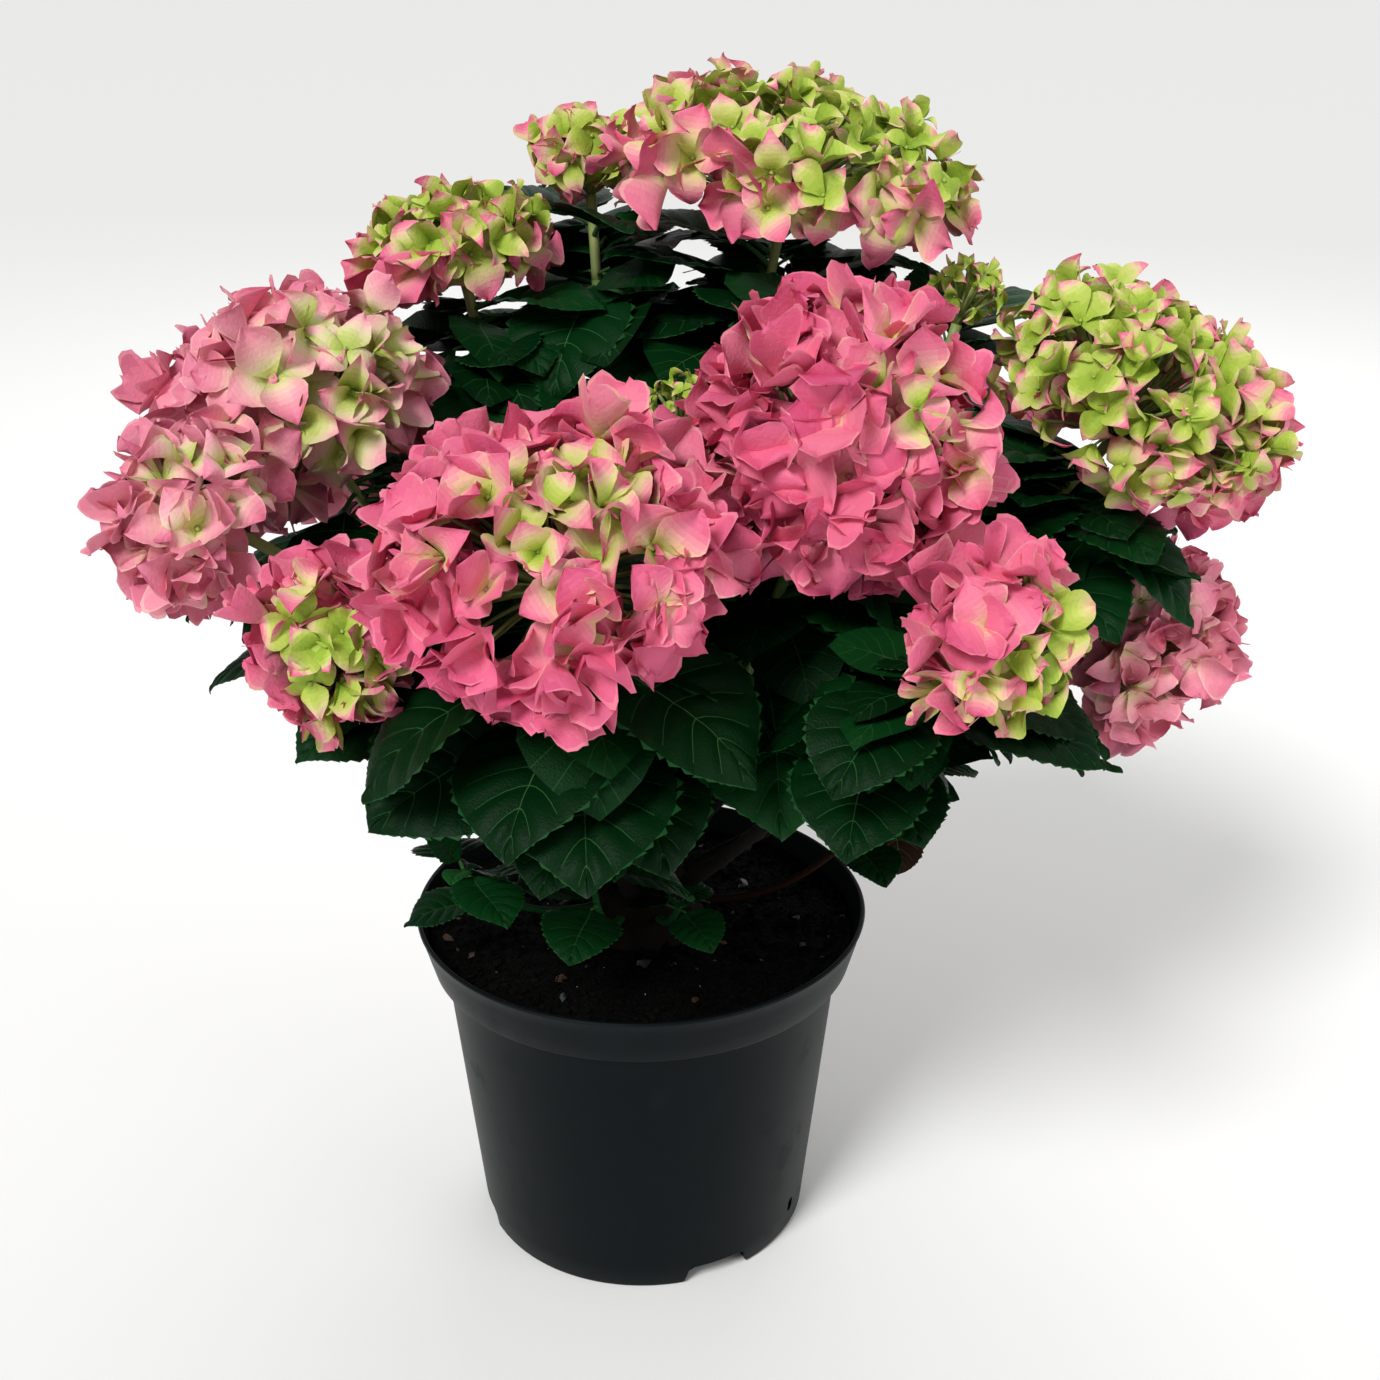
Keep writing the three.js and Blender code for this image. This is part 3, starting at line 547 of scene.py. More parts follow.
# The blade's form, in leaf lengths: its puffs between veins, its edge's ripple and fall, its bow. Then the
# forward sweep of its side veins.
PUFF, EDGE_RIPPLE, EDGE_FALL, BOW, SWEEP = 0.021, 0.016, 0.03, 0.01, 0.24
TEETH = (0.955, 1.055)
PAIRS = {"places": (0.5, 0.61, 0.72, 0.83), "lengths": (0.85, 1, 1, 0.9), "tries": 5}
BETWEEN = {"places": (0.85, 0.67), "around": 3, "length": 0.82}
STEM = {"ends": (3.1, 2.5), "nodes": PAIRS["places"], "ring": 0.9, "ring_length": 0.009}
LEAF_RISE = 16
VEINS = 7
OUTLINE = np.array([
    (0, 0.02), (0.03, 0.26), (0.09, 0.55), (0.18, 0.8), (0.3, 0.96), (0.42, 1.0), (0.55, 0.96),
    (0.68, 0.82), (0.8, 0.58), (0.9, 0.3), (0.96, 0.12), (1.0, 0.0),
])


Shape = namedtuple("Shape", "heading length rise droop roll", defaults=(0,))


def leaf_spine(foot, shape, shares):
    """Points, side and outward directions along a leaf that bends down as it goes."""
    along = heading_of(shape.heading)
    side = np.cross(UP, along)
    rise, droop = math.radians(shape.rise), math.radians(shape.droop)
    droop = droop if abs(droop) > 1e-3 else 1e-3
    slope = rise - droop * shares
    out = (math.sin(rise) - np.sin(slope)) / droop
    lift = (np.cos(slope) - math.cos(rise)) / droop
    middle = foot + shape.length * (out[:, None] * along + lift[:, None] * UP)
    forward = np.cos(slope)[:, None] * along + np.sin(slope)[:, None] * UP
    upward = np.cross(forward, side)
    roll = math.radians(shape.roll)
    tilted = side * math.cos(roll) + upward * math.sin(roll)
    outward = upward * math.cos(roll) - side * math.sin(roll)
    return middle, tilted, outward


# Where a blade's rows lie, and how far each is between two side veins; a vein is a narrow row. A fine blade
# is for leaves that show, a plain one for those inside the crown.
BLADES = {}
for finish, fractions, half_columns in (
    ("fine", (0.05, 0.3, 0.54, 0.78, 1.0), (0.012, 0.18, 0.4, 0.62, 0.84, 0.984, 1.0)),
    ("plain", (0.05, 1.0), (0.014, 0.5, 1.0)),
):
    blade_rows = [(0.0, 0.0)]
    for vein in range(VEINS):
        for fraction in fractions:
            on_vein = fraction in (fractions[0], fractions[-1])
            blade_rows.append(((vein + fraction) / VEINS, 0.0 if on_vein else fraction))
    half = np.array(half_columns)
    BLADES[finish] = (np.array(blade_rows), np.concatenate([-half[::-1], half]))
VEIN_TINT, EDGE_TINT, FIRST_GREEN, DEAD_BROWN, DEAD_ORANGE, SIDE_VEIN_TINT = 0, 1, 2, 6, 7, 8
GREENS = 3


def add_leaf(pile, foot, shape, tint, finish="fine"):
    """Adds one leaf: its stalk, and a blade whose rows follow the side veins."""
    size = shape.length
    chance = np.random.default_rng(int(abs(shape.heading * 131 + size * 977 + foot[2] * 13)))
    blade, across = BLADES[finish]
    steps = 6 if finish == "fine" else 3
    stalk = leaf_spine(foot, shape, np.linspace(0, PETIOLE + 0.02, steps))[0]
    stalk_radii = np.linspace(*STALK, steps) * min(1, size / FULL_STALK)
    pile.add(*tube(stalk, stalk_radii, steps), VEIN_TINT)
    rows, columns = len(blade), len(across)
    row, column = np.meshgrid(blade[:, 0], across, indexing="ij")
    wide = np.abs(column)
    period = (rows - 1) // VEINS
    # The veins taper out to the edge, stand closer near the stalk, and sweep forward as they go.
    row[1::period] -= 0.035 * wide[1::period] / VEINS
    row = 0.004 + 0.994 * row**1.06
    margin = row + SWEEP * np.sin(np.pi * row) ** 0.9
    place = row + (margin - row) * wide**1.5
    share = PETIOLE + (1 - PETIOLE) * place
    middle, tilted, outward = leaf_spine(foot, shape, share.ravel())
    half = size * WIDTH / 2 * np.interp(margin, OUTLINE[:, 0], OUTLINE[:, 1])
    half = np.where(row < 0.08, half * (0.35 + 0.65 * row / 0.08), half)
    sideways = column * half
    if finish == "fine":
        teeth = np.where(np.arange(rows) % 2 == 0, *TEETH)[:, None]
        sideways = sideways * np.where((wide > 0.99) & (row <= 0.96), teeth, 1.0)
    quilt = np.sin(np.pi * blade[:, 1])[:, None] * np.sin(np.pi * wide) ** 0.6
    # The blade folds up along its midrib, puffs up between the veins, and waves at its edge.
    lift = -half * FOLD * 2 * (1 - wide) + size * PUFF * quilt
    phase = chance.uniform(0, 6.28, 3)
    lift += size * EDGE_RIPPLE * wide**2 * np.sin(row * 9 + phase[0] + np.sign(column) * phase[1])
    lift -= size * EDGE_FALL * np.maximum(0, wide - 0.55) ** 1.5 * (1 + 0.4 * np.sin(phase[2]))
    lift += size * BOW * np.sin(row * 4 + phase[2])
    points = middle + tilted * sideways.ravel()[:, None] + outward * lift.ravel()[:, None]
    tints = np.full((rows - 1, columns - 1), tint)
    tints[period::period] = np.where(np.abs(across[:-1] + across[1:]) < 1.75, SIDE_VEIN_TINT, tint)
    tints[:, columns // 2 - 1] = VEIN_TINT
    if finish == "fine":
        tints[:, [0, -1]] = EDGE_TINT
    pile.add(points, grid_faces(rows, columns), tints.ravel())


NEAR = 3  # mm


def grows(node, foot, shape):
    """Whether the CAD node has this leaf: its surface passes by the leaf's tip and by its midrib."""
    middle, _, outward = leaf_spine(foot, shape, np.array([0.72, 1.0]))
    middle[0] -= outward[0] * 0.86 * WIDTH * FOLD * shape.length
    for point in middle:
        found, spot, _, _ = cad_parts[node].closest_point_on_mesh(Vector(point * MM))
        if not found or np.linalg.norm(np.array(spot) / MM - point) > NEAR:
            return False
    return True


# Leathery leaf: a waxy top with a low satin shine; its fine relief is the net of the smallest veins.
def leaf_green(name, colour, roughness=0.45):
    return plain(name, colour, roughness, 900, 0.0007, IOR=1.3, Specular_IOR_Level=0.2)


leaf_kinds = [leaf_green(*kind) for kind in (
    ("pale_leaf_midrib", "#3a6436", 0.5), ("pale_leaf_edge", "#194822", 0.5),
    ("old_leaf_darkest", "#03240b"), ("old_leaf_dark", "#052d0f"), ("leaf_mid_green", "#083814"),
    ("leaf_fresh_green", "#12491b"), ("dead_leaf_brown", "#24120a", 0.75),
    ("dead_leaf_orange", "#5a2c11", 0.75), ("fine_leaf_vein", "#2c5a2e", 0.5),
)]

# Leaves for certain gaps between the heads: shoot, how far up it, heading, length, rise, bend, roll.
GAP_LEAVES = (
    ("front", 0.72, 210, 106, -2, 34, -34), ("front", 0.61, -64, 98, 34, 96, 0),
    ("front", 0.5, -112, 70, 16, 70, 0), ("bud_middle", 0.5, -94, 72, -6, 46, 0),
    ("mid_right", 0.61, -85, 118, 14, 76, 24), ("mid_right", 0.61, 196, 68, 5, 20, 0),
    ("small_right", 0.83, -12, 78, -2, 40, -30), ("far_right", 0.72, -42, 92, 20, 36, -30),
    ("right", 0.72, -24, 108, 24, 34, -30), ("right", 0.83, -60, 84, 26, 50, 0),
    ("right", 0.85, -112, 74, 34, 34, 0), ("right", 0.61, -38, 118, 4, 50, -20),
    ("right", 0.5, -66, 84, 14, 60, 0), ("top_left", 0.83, -52, 104, 0, 64, 0),
    ("top_left", 0.83, 100, 84, 34, 40, 0), ("top", 0.83, -66, 104, 30, 70, 0),
    ("top", 0.83, 215, 80, 30, 60, 0), ("top", 0.85, -100, 84, 34, 50, 0),
    ("top", 0.85, 30, 84, 34, 50, 0), ("upper_left", 0.83, -35, 92, 6, 70, 0),
    ("upper_left", 0.85, 276, 92, 12, 74, 0),
)

STATE = {"value": 1}


def start_dice(seed):
    STATE["value"] = seed


def dice():
    """The next of a repeatable row of numbers between 0 and 1."""
    STATE["value"] = STATE["value"] * 48271 % 2147483647
    return STATE["value"] / 2147483647


def try_leaf(node, foot, length, turn, rise, droop):
    """The first of a leaf's tries, each swaying more than the last, that the CAD node has."""
    for attempt in range(PAIRS["tries"]):
        sway = attempt * 9 + 6
        shape = Shape(
            turn + sway * 2 * (dice() - 0.5),
            length * (1.05 - 0.05 * attempt) * (0.93 + 0.14 * dice()),
            rise + sway * (dice() - 0.5),
            droop * (0.85 + 0.3 * dice()),
            24 * (dice() - 0.5),
        )
        if grows(node, foot, shape):
            return [(foot, shape)]
    return []


def pair_leaves(node, line, pairs, turn, rise, droop):
    """The leaves of a stem's crossed pairs."""
    found = []
    for pair, (place, length) in enumerate(pairs):
        for half in (0, 180):
            found += try_leaf(node, bend(line, place)[0], length, turn + 90 * pair + half, rise, droop)
    return found


leaf_piles, stems = (Pile(), Pile()), Pile()
for number, (name, shoot) in enumerate(SHOOTS.items()):
    line = shoot_line(shoot)
    node = f"leaves_{name}"
    shares = np.linspace(CANE_END, LEAFY_END, 30)
    stems.add(*limb(line, shares, STEM, 10, 0.02, number + 50))
    leaves = []
    for owner, place, *numbers in GAP_LEAVES:
        foot, shape = bend(line, place)[0], Shape(*numbers)
        if owner == name and grows(node, foot, shape):
            leaves.append((foot, shape))
    start_dice(5000 + 31 * number)
    pairs = [(place, shoot.leaf * length) for place, length in zip(PAIRS["places"], PAIRS["lengths"])]
    leaves += pair_leaves(node, line, pairs, shoot.turn, LEAF_RISE, shoot.droop)
    start_dice(7000 + 37 * number)
    for level, place in enumerate(BETWEEN["places"]):
        for j in range(BETWEEN["around"]):
            turn = shoot.turn + 45 + 60 * level + 360 / BETWEEN["around"] * j
            length = shoot.leaf * BETWEEN["length"]
            leaves += try_leaf(node, bend(line, place)[0], length, turn, LEAF_RISE, shoot.droop)
    for count, (foot, shape) in enumerate(leaves):
        add_leaf(leaf_piles[number % 2], foot, shape, FIRST_GREEN + (number * 5 + count * 3) % GREENS)


# ---- The inner leaves and the collars ----
# Smaller leaves of the same kind fill the inside of the crown, all up the green stems, and a collar of
# them stands up close under each flower head.
SKIRT = 290
UNDER_FLORETS = -0.62
# For each kind: how many to a shoot, degrees from one to the next, how far up it they stand, how deep into
# a head they may reach, and the ranges of sway, share of full length, rise, bend and roll.
INNER = {
    "number": 38, "step": 137.5, "up": (0.5, 0.92), "clear": 0.93,
    "ranges": ((-20, 20), (0.48, 0.7), (-5, 40), (40, 95), (-22, 22)),
}
COLLAR_LEAVES = {
    "number": 10, "step": 36, "up": (0.84, 0.93), "clear": 0.9,
    "ranges": ((-14, 14), (0.5, 0.74), (18, 48), (45, 80), (-16, 16)),
}


def depth_in(shoot, point):
    """How far out a point lies in a flower head: 1 on the head's outside."""
    offset = point - shoot.at
    along = offset @ leaning(shoot.tilt, shoot.heading)
    out = math.sqrt(max(0.0, offset @ offset - along * along))
    return math.hypot(along / shoot.half, out / shoot.radius)


def clear_of_heads(foot, shape, own, limit):
    """Whether a leaf keeps above the skirt and out of every head, or under the florets of its own."""
    middle, tilted, _ = leaf_spine(foot, shape, np.array([0.5, 0.75, 1.0]))
    aside = tilted[:2] * shape.length * 0.3
    edges = np.concatenate([middle, middle[:2] + aside, middle[:2] - aside])
    if edges[:, 2].min() < SKIRT:
        return False
    for name, other in SHOOTS.items():
        for spot in edges:
            height = (spot - other.at) @ leaning(other.tilt, other.heading) / other.half
            if depth_in(other, spot) < limit and not (name == own and height < UNDER_FLORETS):
                return False
    return True


def drawn_shape(chance, ranges, heading, length):
    """The shape of one leaf, drawn within its kind's ranges."""
    sway, share, rise, droop, roll = (chance.uniform(*ends) for ends in ranges)
    return Shape(heading + sway, length * share, rise, droop, roll)


inner_leaves, collar_leaves = Pile(), Pile()
for number, (name, shoot) in enumerate(SHOOTS.items()):
    chance = np.random.default_rng(300 + number)
    for pile, kind, finish, first_heading in (
        (inner_leaves, INNER, "plain", 0), (collar_leaves, COLLAR_LEAVES, "fine", shoot.turn),
    ):
        for j in range(kind["number"]):
            foot = bend(shoot_line(shoot), chance.uniform(*kind["up"]))[0]
            heading = first_heading + j * kind["step"]
            shape = drawn_shape(chance, kind["ranges"], heading, shoot.leaf)
            if clear_of_heads(foot, shape, name, kind["clear"]):
                add_leaf(pile, foot, shape, FIRST_GREEN + j % GREENS, finish)

# A few more where the crown would be thin: shoot, how far up it, heading, length, rise, bend.
FILLING_LEAVES = (
    ("top_left", 0.8, 315, 64, 48, 40), ("top_left", 0.91, 120, 84, 48, 75),
    ("upper_left", 0.91, 105, 64, 28, 75), ("top", 0.86, 0, 84, 48, 75), ("right", 0.86, 75, 64, 28, 75),
    ("right", 0.86, 0, 64, 5, 40), ("small_right", 0.8, 15, 64, 5, 75),
    ("low_left", 0.74, 285, 84, 5, 40), ("bud_right", 0.91, 60, 102, 48, 75),
    ("bud_right", 0.93, 108, 52, 62, 35), ("right", 0.88, 252, 52, 45, 35),
    ("right", 0.82, 36, 52, 45, 35), ("right", 0.76, 0, 92, 45, 75), ("top_left", 0.82, 36, 52, 25, 35),
    ("top_left", 0.76, 144, 92, 25, 35), ("upper_left", 0.93, 108, 52, 25, 75),
    ("small_right", 0.82, 0, 52, 0, 75), ("bud_right", 0.93, 288, 44, 25, 10),
    ("top", 0.86, 162, 44, 25, 40), ("top", 0.93, 180, 44, 25, 40), ("top_left", 0.93, 126, 34, 0, 40),
    ("top_left", 0.93, 162, 56, 25, 10), ("upper_left", 0.93, 144, 34, 0, 10),
    ("upper_left", 0.91, 108, 34, 0, 10), ("right", 0.93, 108, 44, -25, 10),
)
for number, (name, place, *numbers) in enumerate(FILLING_LEAVES):
    foot = bend(shoot_line(SHOOTS[name]), place)[0]
    add_leaf(collar_leaves, foot, Shape(*numbers), FIRST_GREEN + number % GREENS)
inner_leaves.make("inner_leaves", "leaf", [], leaf_kinds)
collar_leaves.make("collar_leaves", "leaf", [], leaf_kinds)


# ---- The low shoots ----
# Four thin side shoots reach from the stump out towards the pot's rim, three green and one dead and
# brown, with small leaves in pairs and a tuft of young leaves at each tip.
# One row each: its tip, heading, leaf length, the turn of its first pair, and where its pairs stand.
LOW_SHOOTS = (
    ("low_shoot_left", (-84, -56, 226), 209, 48, 205, (0.72, 0.98)),
    ("low_shoot_front", (-22, -60, 230), 250, 54, 262, (0.7, 0.98)),
    ("low_shoot_middle", (20, -46, 202), -70, 38, -60, (0.9,)),
    ("low_shoot_right", (128, -22, 266), -12, 44, -66, (0.7, 0.98)),
)
LOW = {"ends": (2.2, 1.5), "lean": 88, "steer": 0.5, "rise": 22, "droop": 60}
TUFT = {"number": 4, "step": 75, "ranges": ((-20, 20), (0.45, 0.75), (30, 78), (20, 110), (-30, 30))}
low = Pile()
for number, (name, tip, heading, length, turn, places) in enumerate(LOW_SHOOTS):
    outward = leaning(LOW["lean"], heading)
    start = DOME_MIDDLE + outward * (STUMP["dome"] + CLEAR)
    tip = np.array(tip, float)
    line = [start, start + outward * np.linalg.norm(tip - start) * LOW["steer"], tip]
    path, radii = bend(line, np.linspace(0, 1, 24)), np.linspace(*LOW["ends"], 24)
    skin = DEAD_BROWN if name == "low_shoot_right" else EDGE_TINT
    low.add(*tube(path, radii, 8, 0.03, number), skin)
    start_dice(9000 + 13 * number)
    leaves = pair_leaves(name, line, [(place, length) for place in places], turn, LOW["rise"], LOW["droop"])
    for count, (foot, shape) in enumerate(leaves):
        add_leaf(low, foot, shape, FIRST_GREEN + (number + count) % GREENS)
    chance = np.random.default_rng(60 + number)
    for j in range(TUFT["number"]):
        spread = heading + TUFT["step"] * (j - (TUFT["number"] - 1) / 2)
        shape = drawn_shape(chance, TUFT["ranges"], spread, length)
        add_leaf(low, bend(line, 0.97)[0], shape, FIRST_GREEN + 1 + j % GREENS)

# Two withered leaves still hang on the last of them, the dead one.
for place, shape, tint in (
    (0.86, Shape(-50, 40, -30, 70, 50), DEAD_BROWN), (0.8, Shape(-100, 30, -10, 110, -40), DEAD_ORANGE),
):
    add_leaf(low, bend(line, place)[0], shape, tint)

for number, pile in enumerate(leaf_piles):
    nodes = [f"leaves_{name}" for name in list(SHOOTS)[number::2]]
    pile.make(f"leaf_blades_{number + 1}", "leaf", nodes, leaf_kinds)
low.make("low_shoots", "leaf", [row[0] for row in LOW_SHOOTS], leaf_kinds)
# This year's stems: smooth light green skin with a low satin shine.
stem_green = plain("green_stem_skin", "#6f8f4a", 0.5, 700, 0.0004)
stems.make("green_stems", "leaf", [], [stem_green])


# ---- Flower heads ----
# Domes of four-lobed florets on a branching stalk. Each lobe is a soft papery sepal round a tiny bead.
# Young florets are small, lime green and pointed; they swell, turn cream, then pink from the tips in.
PETAL_STEPS = 20
# From the greenest young sepal to the deepest pink edge: share of the way, and colour.
ROSE = ((0, "#7f9c2e"), (0.14, "#a2bc42"), (0.28, "#bfcc62"), (0.38, "#d5cf8a"), (0.47, "#e5c29e"),
        (0.56, "#e9a6a3"), (0.68, "#e88399"), (0.84, "#e0678b"), (1.0, "#bf426b"))
# A paler, bluer set for some heads. Its pinks are partly those heads' own tint and partly painted light,
# lightened so the left head, away from the key lamp, comes out as bright as the rest.
MAUVE = ((0, "#859f3b"), (0.14, "#a6bb52"), (0.28, "#c3cb78"), (0.38, "#d9d3a0"), (0.47, "#e7c9b0"),
         (0.56, "#efbab6"), (0.68, "#eda0ac"), (0.84, "#e2849c"), (1.0, "#c15878"))


def between(stops, share):
    """A hex colour part of the way along a row of stops."""
    places, colours = zip(*stops)
    channels = np.array([[int(colour[i : i + 2], 16) for i in (1, 3, 5)] for colour in colours], float)
    mixed = [int(round(np.interp(share, places, channels[:, i]))) for i in range(3)]
    return "#%02x%02x%02x" % tuple(mixed)


def petal_set(name, stops):
    """Soft papery sepals: almost no shine, and a faint crinkle between the veins."""
    kinds = []
    for i in range(PETAL_STEPS):
        colour = between(stops, i / (PETAL_STEPS - 1))
        kinds.append(plain(f"{name}_sepal_{i:02d}", colour, 0.6, 650, 0.0006, Specular_IOR_Level=0.3))
    return kinds


petal_kinds = {"rose": petal_set("rose", ROSE), "mauve": petal_set("mauve", MAUVE)}
# The closed true flower in a floret's middle is a smooth waxy bead, and the stalks are smooth and pale.
bead_kinds = [plain("green_bead", "#a8b85c", 0.5), plain("pink_bead", "#c77f95", 0.5)]
stalk_kind = plain("pale_flower_stalk", "#8d9a58", 0.55)

# How each head has ripened: 0 all green to 1 all pink, how much greener it is towards one side, which
# side that is and how narrowly it keeps to it, its florets' lengths when green and when pink, their
# number, how far round to its underside they go (degrees from its top), and its tint set.
RIPENESS = {
    "front": (1.0, 0.6, (0.2, -0.68, 0.75), 5, 19, 26, 86, 116, "rose"),
    "mid_right": (1.0, 0.5, (0.75, -0.5, 0.5), 6, 19, 25, 96, 125, "rose"),
    "left": (0.92, 0.56, (0.6, -0.5, 0.5), 2.6, 19, 27, 84, 122, "mauve"),
    "right": (0.67, 0.64, (-0.25, -0.45, 0.7), 1.5, 18, 25, 150, 131, "rose"),
    "top": (0.7, 0.66, (0.5, -0.1, 0.6), 1.8, 18, 30, 108, 110, "rose"),
    "upper_left": (0.66, 0.72, (0.1, 0.1, 0.95), 1.8, 17, 28, 66, 124, "rose"),
    "small_right": (0.95, 1.0, (0.75, -0.3, -0.45), 1.4, 17, 25, 38, 122, "rose"),
    "far_right": (0.92, 0.34, (-0.5, -0.5, 0.5), 2, 15, 21, 76, 126, "mauve"),
    "low_left": (0.92, 0.8, (0.1, -0.6, 0.0), 2.4, 17, 26, 40, 128, "rose"),
    "outer_left": (0.9, 0.46, (0.3, -0.2, 0.2), 1.8, 18, 26, 40, 126, "mauve"),
    "top_left": (0.4, 0.4, (0.5, 0.2, 0.3), 2, 15, 24, 34, 130, "rose"),
    "back": (0.95, 0.5, (0.1, -0.4, 0.9), 3, 20, 27, 64, 118, "rose"),
    "back_left": (0.9, 0.5, (0.3, 0.2, 0.8), 3, 20, 27, 60, 118, "mauve"),
    "back_right": (0.66, 0.6, (-0.3, 0.1, 0.8), 2, 19, 26, 68, 118, "rose"),
    "bud_right": (0.05, 0, (0, 0, 1), 1, 9, 12, 20, 122, "rose"),
    "bud_middle": (0.05, 0, (0, 0, 1), 1, 8, 11, 14, 122, "rose"),
}
SEPAL_U = np.linspace(0, 1, 11)
SEPAL_V = np.array([-1, -0.92, -0.62, -0.3, 0, 0.3, 0.62, 0.92, 1])
RIPE_OUTLINE = np.array([
    (0, 0.12), (0.1, 0.34), (0.24, 0.7), (0.4, 0.96), (0.52, 1.0), (0.66, 0.88), (0.8, 0.58), (0.91, 0.28),
    (1, 0.02),
])
YOUNG_OUTLINE = np.array([
    (0, 0.16), (0.2, 0.62), (0.4, 1.0), (0.6, 0.88), (0.8, 0.5), (0.92, 0.2), (1, 0.02),
])
# A sepal's half width in lengths, young and ripe, and the ranges of how steeply a floret opens, how it is
# cupped, and each sepal's size, curl and ripple.
HALF_WIDTH = (0.38, 0.55)
OPEN, CUPPED, SIZE, CURL, RIPPLE = (14, 72), (-0.3, 1.05), (0.84, 1.12), (-20, 95), (0.03, 0.1)
TOOTH = 0.03
BEAD = LUMP[:6]
BEAD_FACES = np.array([(0, 1, 4), (1, 2, 4), (2, 3, 4), (3, 0, 4), *LUMP_FACES[-4:]])


def smooth_step(value):
    value = np.clip(value, 0, 1)
    return value * value * (3 - 2 * value)


def sepal_tints(ripe, rosy, chance):
    """The tint of each face: lime at the base and pink beyond, by how ripe the floret is."""
    along = (SEPAL_U[:-1] + SEPAL_U[1:])[:, None] / 2
    aside = np.abs((SEPAL_V[:-1] + SEPAL_V[1:])[None, :]) / 2
    # rosy sets the colour at the sepal's base: partly its own rose, partly painted shade where the sepals
    # crease.
    pink = rosy + (0.76 - rosy) * smooth_step(along / 0.4) + 0.08 * along + 0.05 * aside
    pink = pink - 0.14 * (aside > 0.93) - chance.choice([0, 0, 0.05, 0.12]) * (1 - along)
    lime = 0.06 + 0.16 * along + 0.05 * aside
    lime = lime + chance.uniform(0.15, 0.62) * smooth_step((along - 0.55 + 0.1 * aside) / 0.5)
    share = smooth_step((ripe + 0.5 * (along - 0.5) * (1 - abs(2 * ripe - 1)) - 0.12) / 0.76)
    shade = lime * (1 - share) + pink * share + chance.normal(0, 0.045)
    return np.clip(np.round(shade * (PETAL_STEPS - 1)), 0, PETAL_STEPS - 1).astype(int)


def add_floret(pile, beads, middle, normal, turn, length, ripe, chance):
    """One floret of two crossed pairs of sepals, facing along its normal."""
    across, over = square_to(normal)
    u, v = np.meshgrid(SEPAL_U, SEPAL_V, indexing="ij")
    teeth = np.where(np.arange(len(SEPAL_U)) % 2, 1, -1)[:, None]
    young = np.interp(u, YOUNG_OUTLINE[:, 0], YOUNG_OUTLINE[:, 1])
    grown = np.interp(u, RIPE_OUTLINE[:, 0], RIPE_OUTLINE[:, 1])
    broad = float(smooth_step((ripe - 0.25) / 0.7))
    width = HALF_WIDTH[0] * young * (1 - broad) + HALF_WIDTH[1] * grown * broad
    open_angle = chance.uniform(*OPEN) + 10 * (1 - ripe)
    cupped = chance.uniform(*CUPPED)
    # An unripe floret is starry, with its tips curled back; the ripest are rosy down to their base. That
    # deeper rose at the base is partly the sepals' own colour and partly painted shade in the floret's
    # middle, where the sepals crease.
    starry = float(1 - smooth_step((ripe - 0.45) / 0.4))
    rosy = 0.5 + 0.24 * float(smooth_step((ripe - 0.82) / 0.18)) * chance.uniform(0.2, 1)
    for lobe in range(4):
        angle = turn + lobe * math.pi / 2 + chance.normal(0, 0.12)
        out = across * math.cos(angle) + over * math.sin(angle)
        side = np.cross(normal, out)
        size = length * chance.uniform(*SIZE)
        start = math.radians(open_angle + (7 if lobe % 2 else -7) + chance.normal(0, 10))
        curl = math.radians(chance.uniform(*CURL) + 40 * starry)
        curl = curl if abs(curl) > 0.02 else 0.02
        slope = start - curl * u
        reach = (math.sin(start) - np.sin(slope)) / curl
        rise = (np.cos(slope) - math.cos(start)) / curl
        # Cupped along its middle, then ruffled: its two edges roll up or down, each in its own way.
        cup = cupped + chance.normal(0, 0.25)
        twist = chance.normal(0, 0.28)
        half = width * size * (1 - 0.16 * abs(cup) * np.abs(v))
        edge = np.where(v > 0, chance.normal(0.25, 0.6), chance.normal(0.25, 0.6))
        wave = chance.uniform(*RIPPLE) * (0.45 + 0.55 * ripe)
        phase = chance.uniform(0, 6.28, 3)
        height = rise * size + cup * v * v * half + twist * v * half * u
        height = height + edge * half * np.maximum(0, np.abs(v) - 0.5) * u
        height = height + wave * size * u * np.sin(v * 3.4 + phase[1])
        height = height + wave * size * v * v * np.sin(u * 11 + phase[0] + np.sign(v) * phase[2])
        half = half * (1 + TOOTH * teeth * (np.abs(v) > 0.95))
        flat = out * (reach * size)[..., None] + side * (v * half)[..., None]
        points = middle + flat + normal * height[..., None]
        tints = sepal_tints(ripe, rosy, chance)
        pile.add(points.reshape(-1, 3), grid_faces(len(SEPAL_U), len(SEPAL_V)), tints.ravel())
    bead = middle + normal * length * 0.07 + BEAD * (1.2 + 0.4 * ripe)
    beads.add(bead, BEAD_FACES, int(ripe >= 0.6))


GOLDEN_TURN = math.pi * (3 - math.sqrt(5))
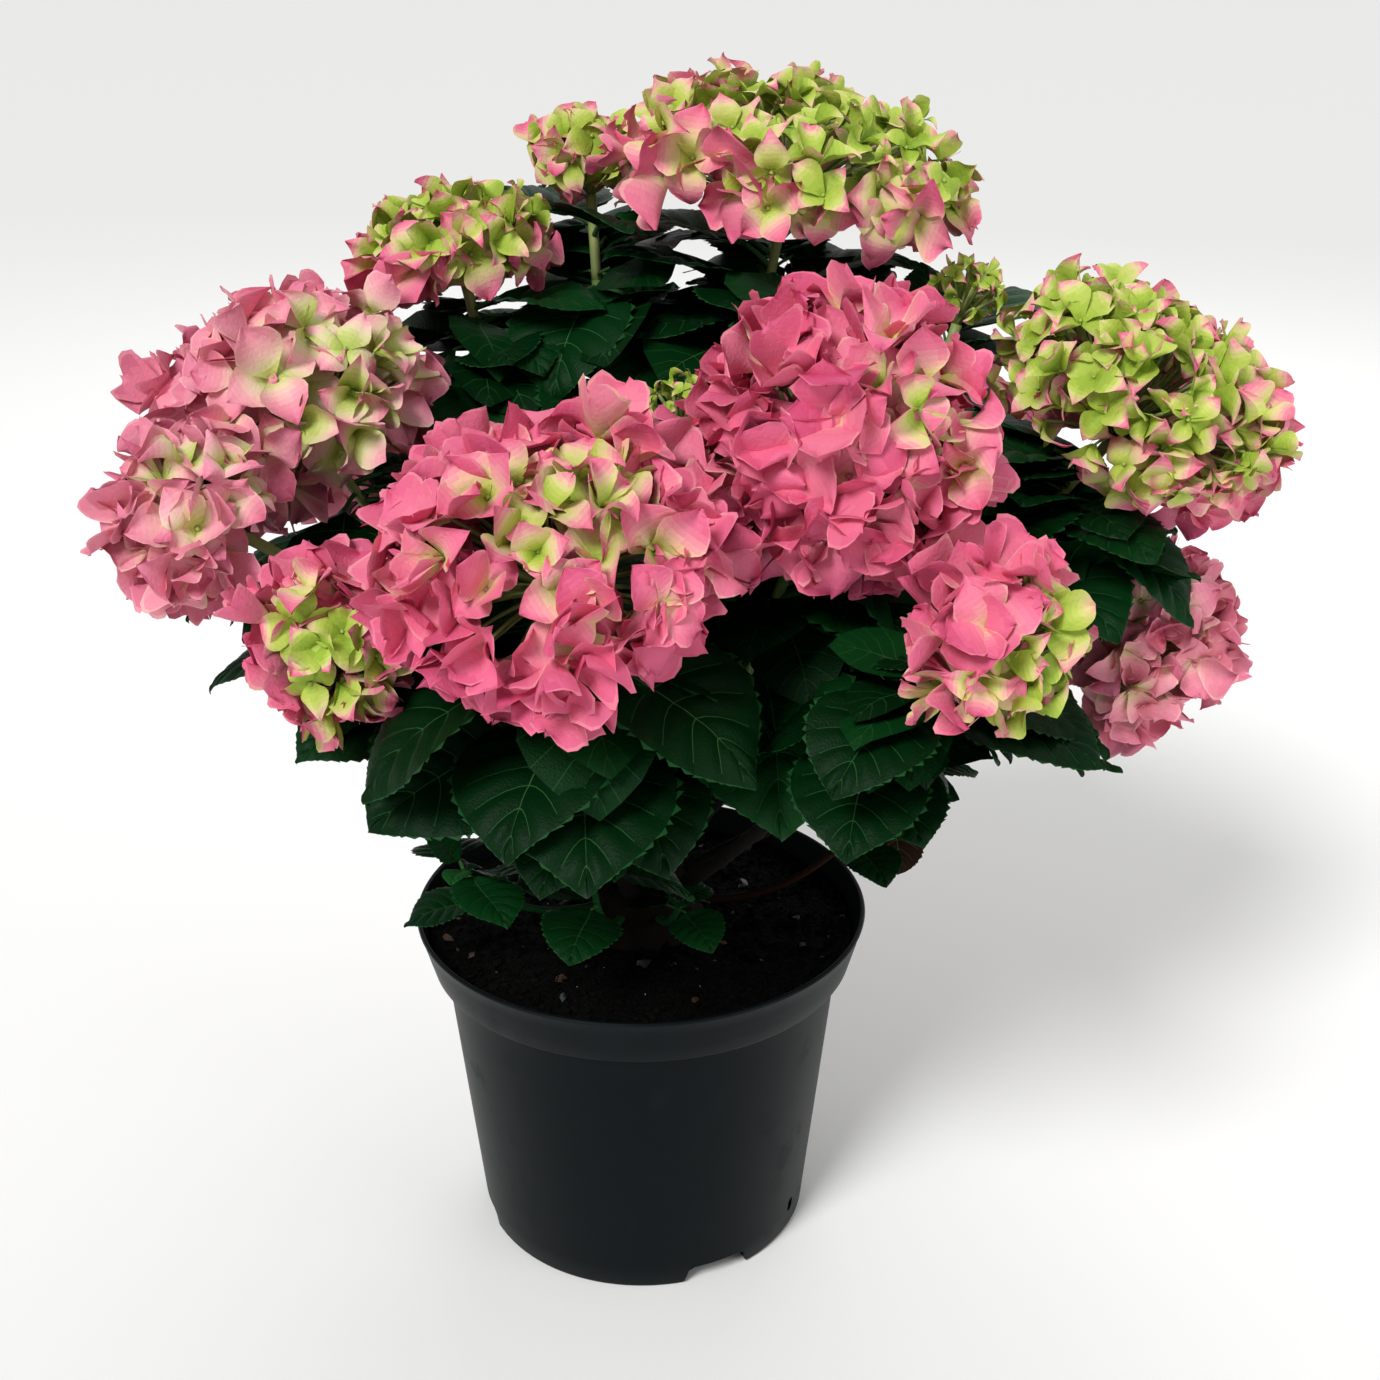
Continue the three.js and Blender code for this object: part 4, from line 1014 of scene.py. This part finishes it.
# A floret's seat lies on the head's uneven outside, less a share of its length, but never too near the
# middle. Its seat and its facing stray a little.
OUTSIDE, STAND, LEAST_OUT, STRAY, FACING_STRAY = (0.8, 1.03), 0.5, 0.35, 0.02, 0.42
beads, stalks = Pile(), Pile()
for number, (name, shoot) in enumerate(SHOOTS.items()):
    ripe_middle, ripe_slope, ripe_side, focus, small, large, count, underside, tints = RIPENESS[name]
    ripe_side = np.array(ripe_side) / np.linalg.norm(ripe_side)
    axis = leaning(shoot.tilt, shoot.heading)
    across, over = square_to(axis)
    chance = np.random.default_rng(700 + number)
    pile = Pile()
    neck = bend(shoot_line(shoot), np.linspace(LEAFY_END, 0.97, 8))
    stalks.add(*tube(neck, np.linspace(2.4, 2.8, 8), 8))
    hub = neck[-1]
    lowest = math.cos(math.radians(underside))
    for i in range(count):
        # Seats lie in a spiral from the head's top down to its underside.
        height = 1 - (i + 0.5) / count * (1 - lowest)
        ring = math.sqrt(1 - height * height)
        turn = i * GOLDEN_TURN + chance.normal(0, 0.12)
        flat = across * math.cos(turn) + over * math.sin(turn)
        outward = flat * ring / shoot.radius + axis * height / shoot.half
        outward /= np.linalg.norm(outward)
        greener = (outward @ ripe_side + 1) / 2
        ripe = float(np.clip(ripe_middle - ripe_slope * greener**focus + chance.normal(0, 0.07), 0.0, 1.0))
        length = (small + (large - small) * ripe) * chance.uniform(*SIZE)
        reach = flat * shoot.radius * ring + axis * shoot.half * height
        room = np.linalg.norm(reach)
        out = room * chance.uniform(*OUTSIDE) - length * STAND
        spot = shoot.at + reach / room * max(LEAST_OUT * room, out)
        spot = spot + chance.normal(0, shoot.radius * STRAY, 3)
        # Where two heads meet, each keeps to its own side.
        depths = {other: depth_in(SHOOTS[other], spot) for other in SHOOTS}
        if min(depths, key=depths.get) != name:
            continue
        facing = outward + chance.normal(0, FACING_STRAY, 3)
        if height < 0.1:
            facing = facing - UP * 0.12
        facing /= np.linalg.norm(facing)
        seat = spot - outward * length * 0.18
        add_floret(pile, beads, seat, facing, chance.uniform(0, 1.57), length, ripe, chance)
        elbow = hub + (seat - hub) * 0.45 + axis * shoot.half * 0.12
        path = bend([hub, elbow, seat], np.linspace(0, 1, 5))
        stalks.add(*tube(path, np.linspace(1.3, 0.8, 5), 4))
    slot = "green_blossom" if ripe_middle < 0.4 else "pink_blossom"
    pile.make(f"florets_{name}", slot, [f"bloom_{name}"], petal_kinds[tints])
beads.make("floret_beads", "pink_blossom", [], bead_kinds)
stalks.make("flower_stalks", "green_blossom", [], [stalk_kind])
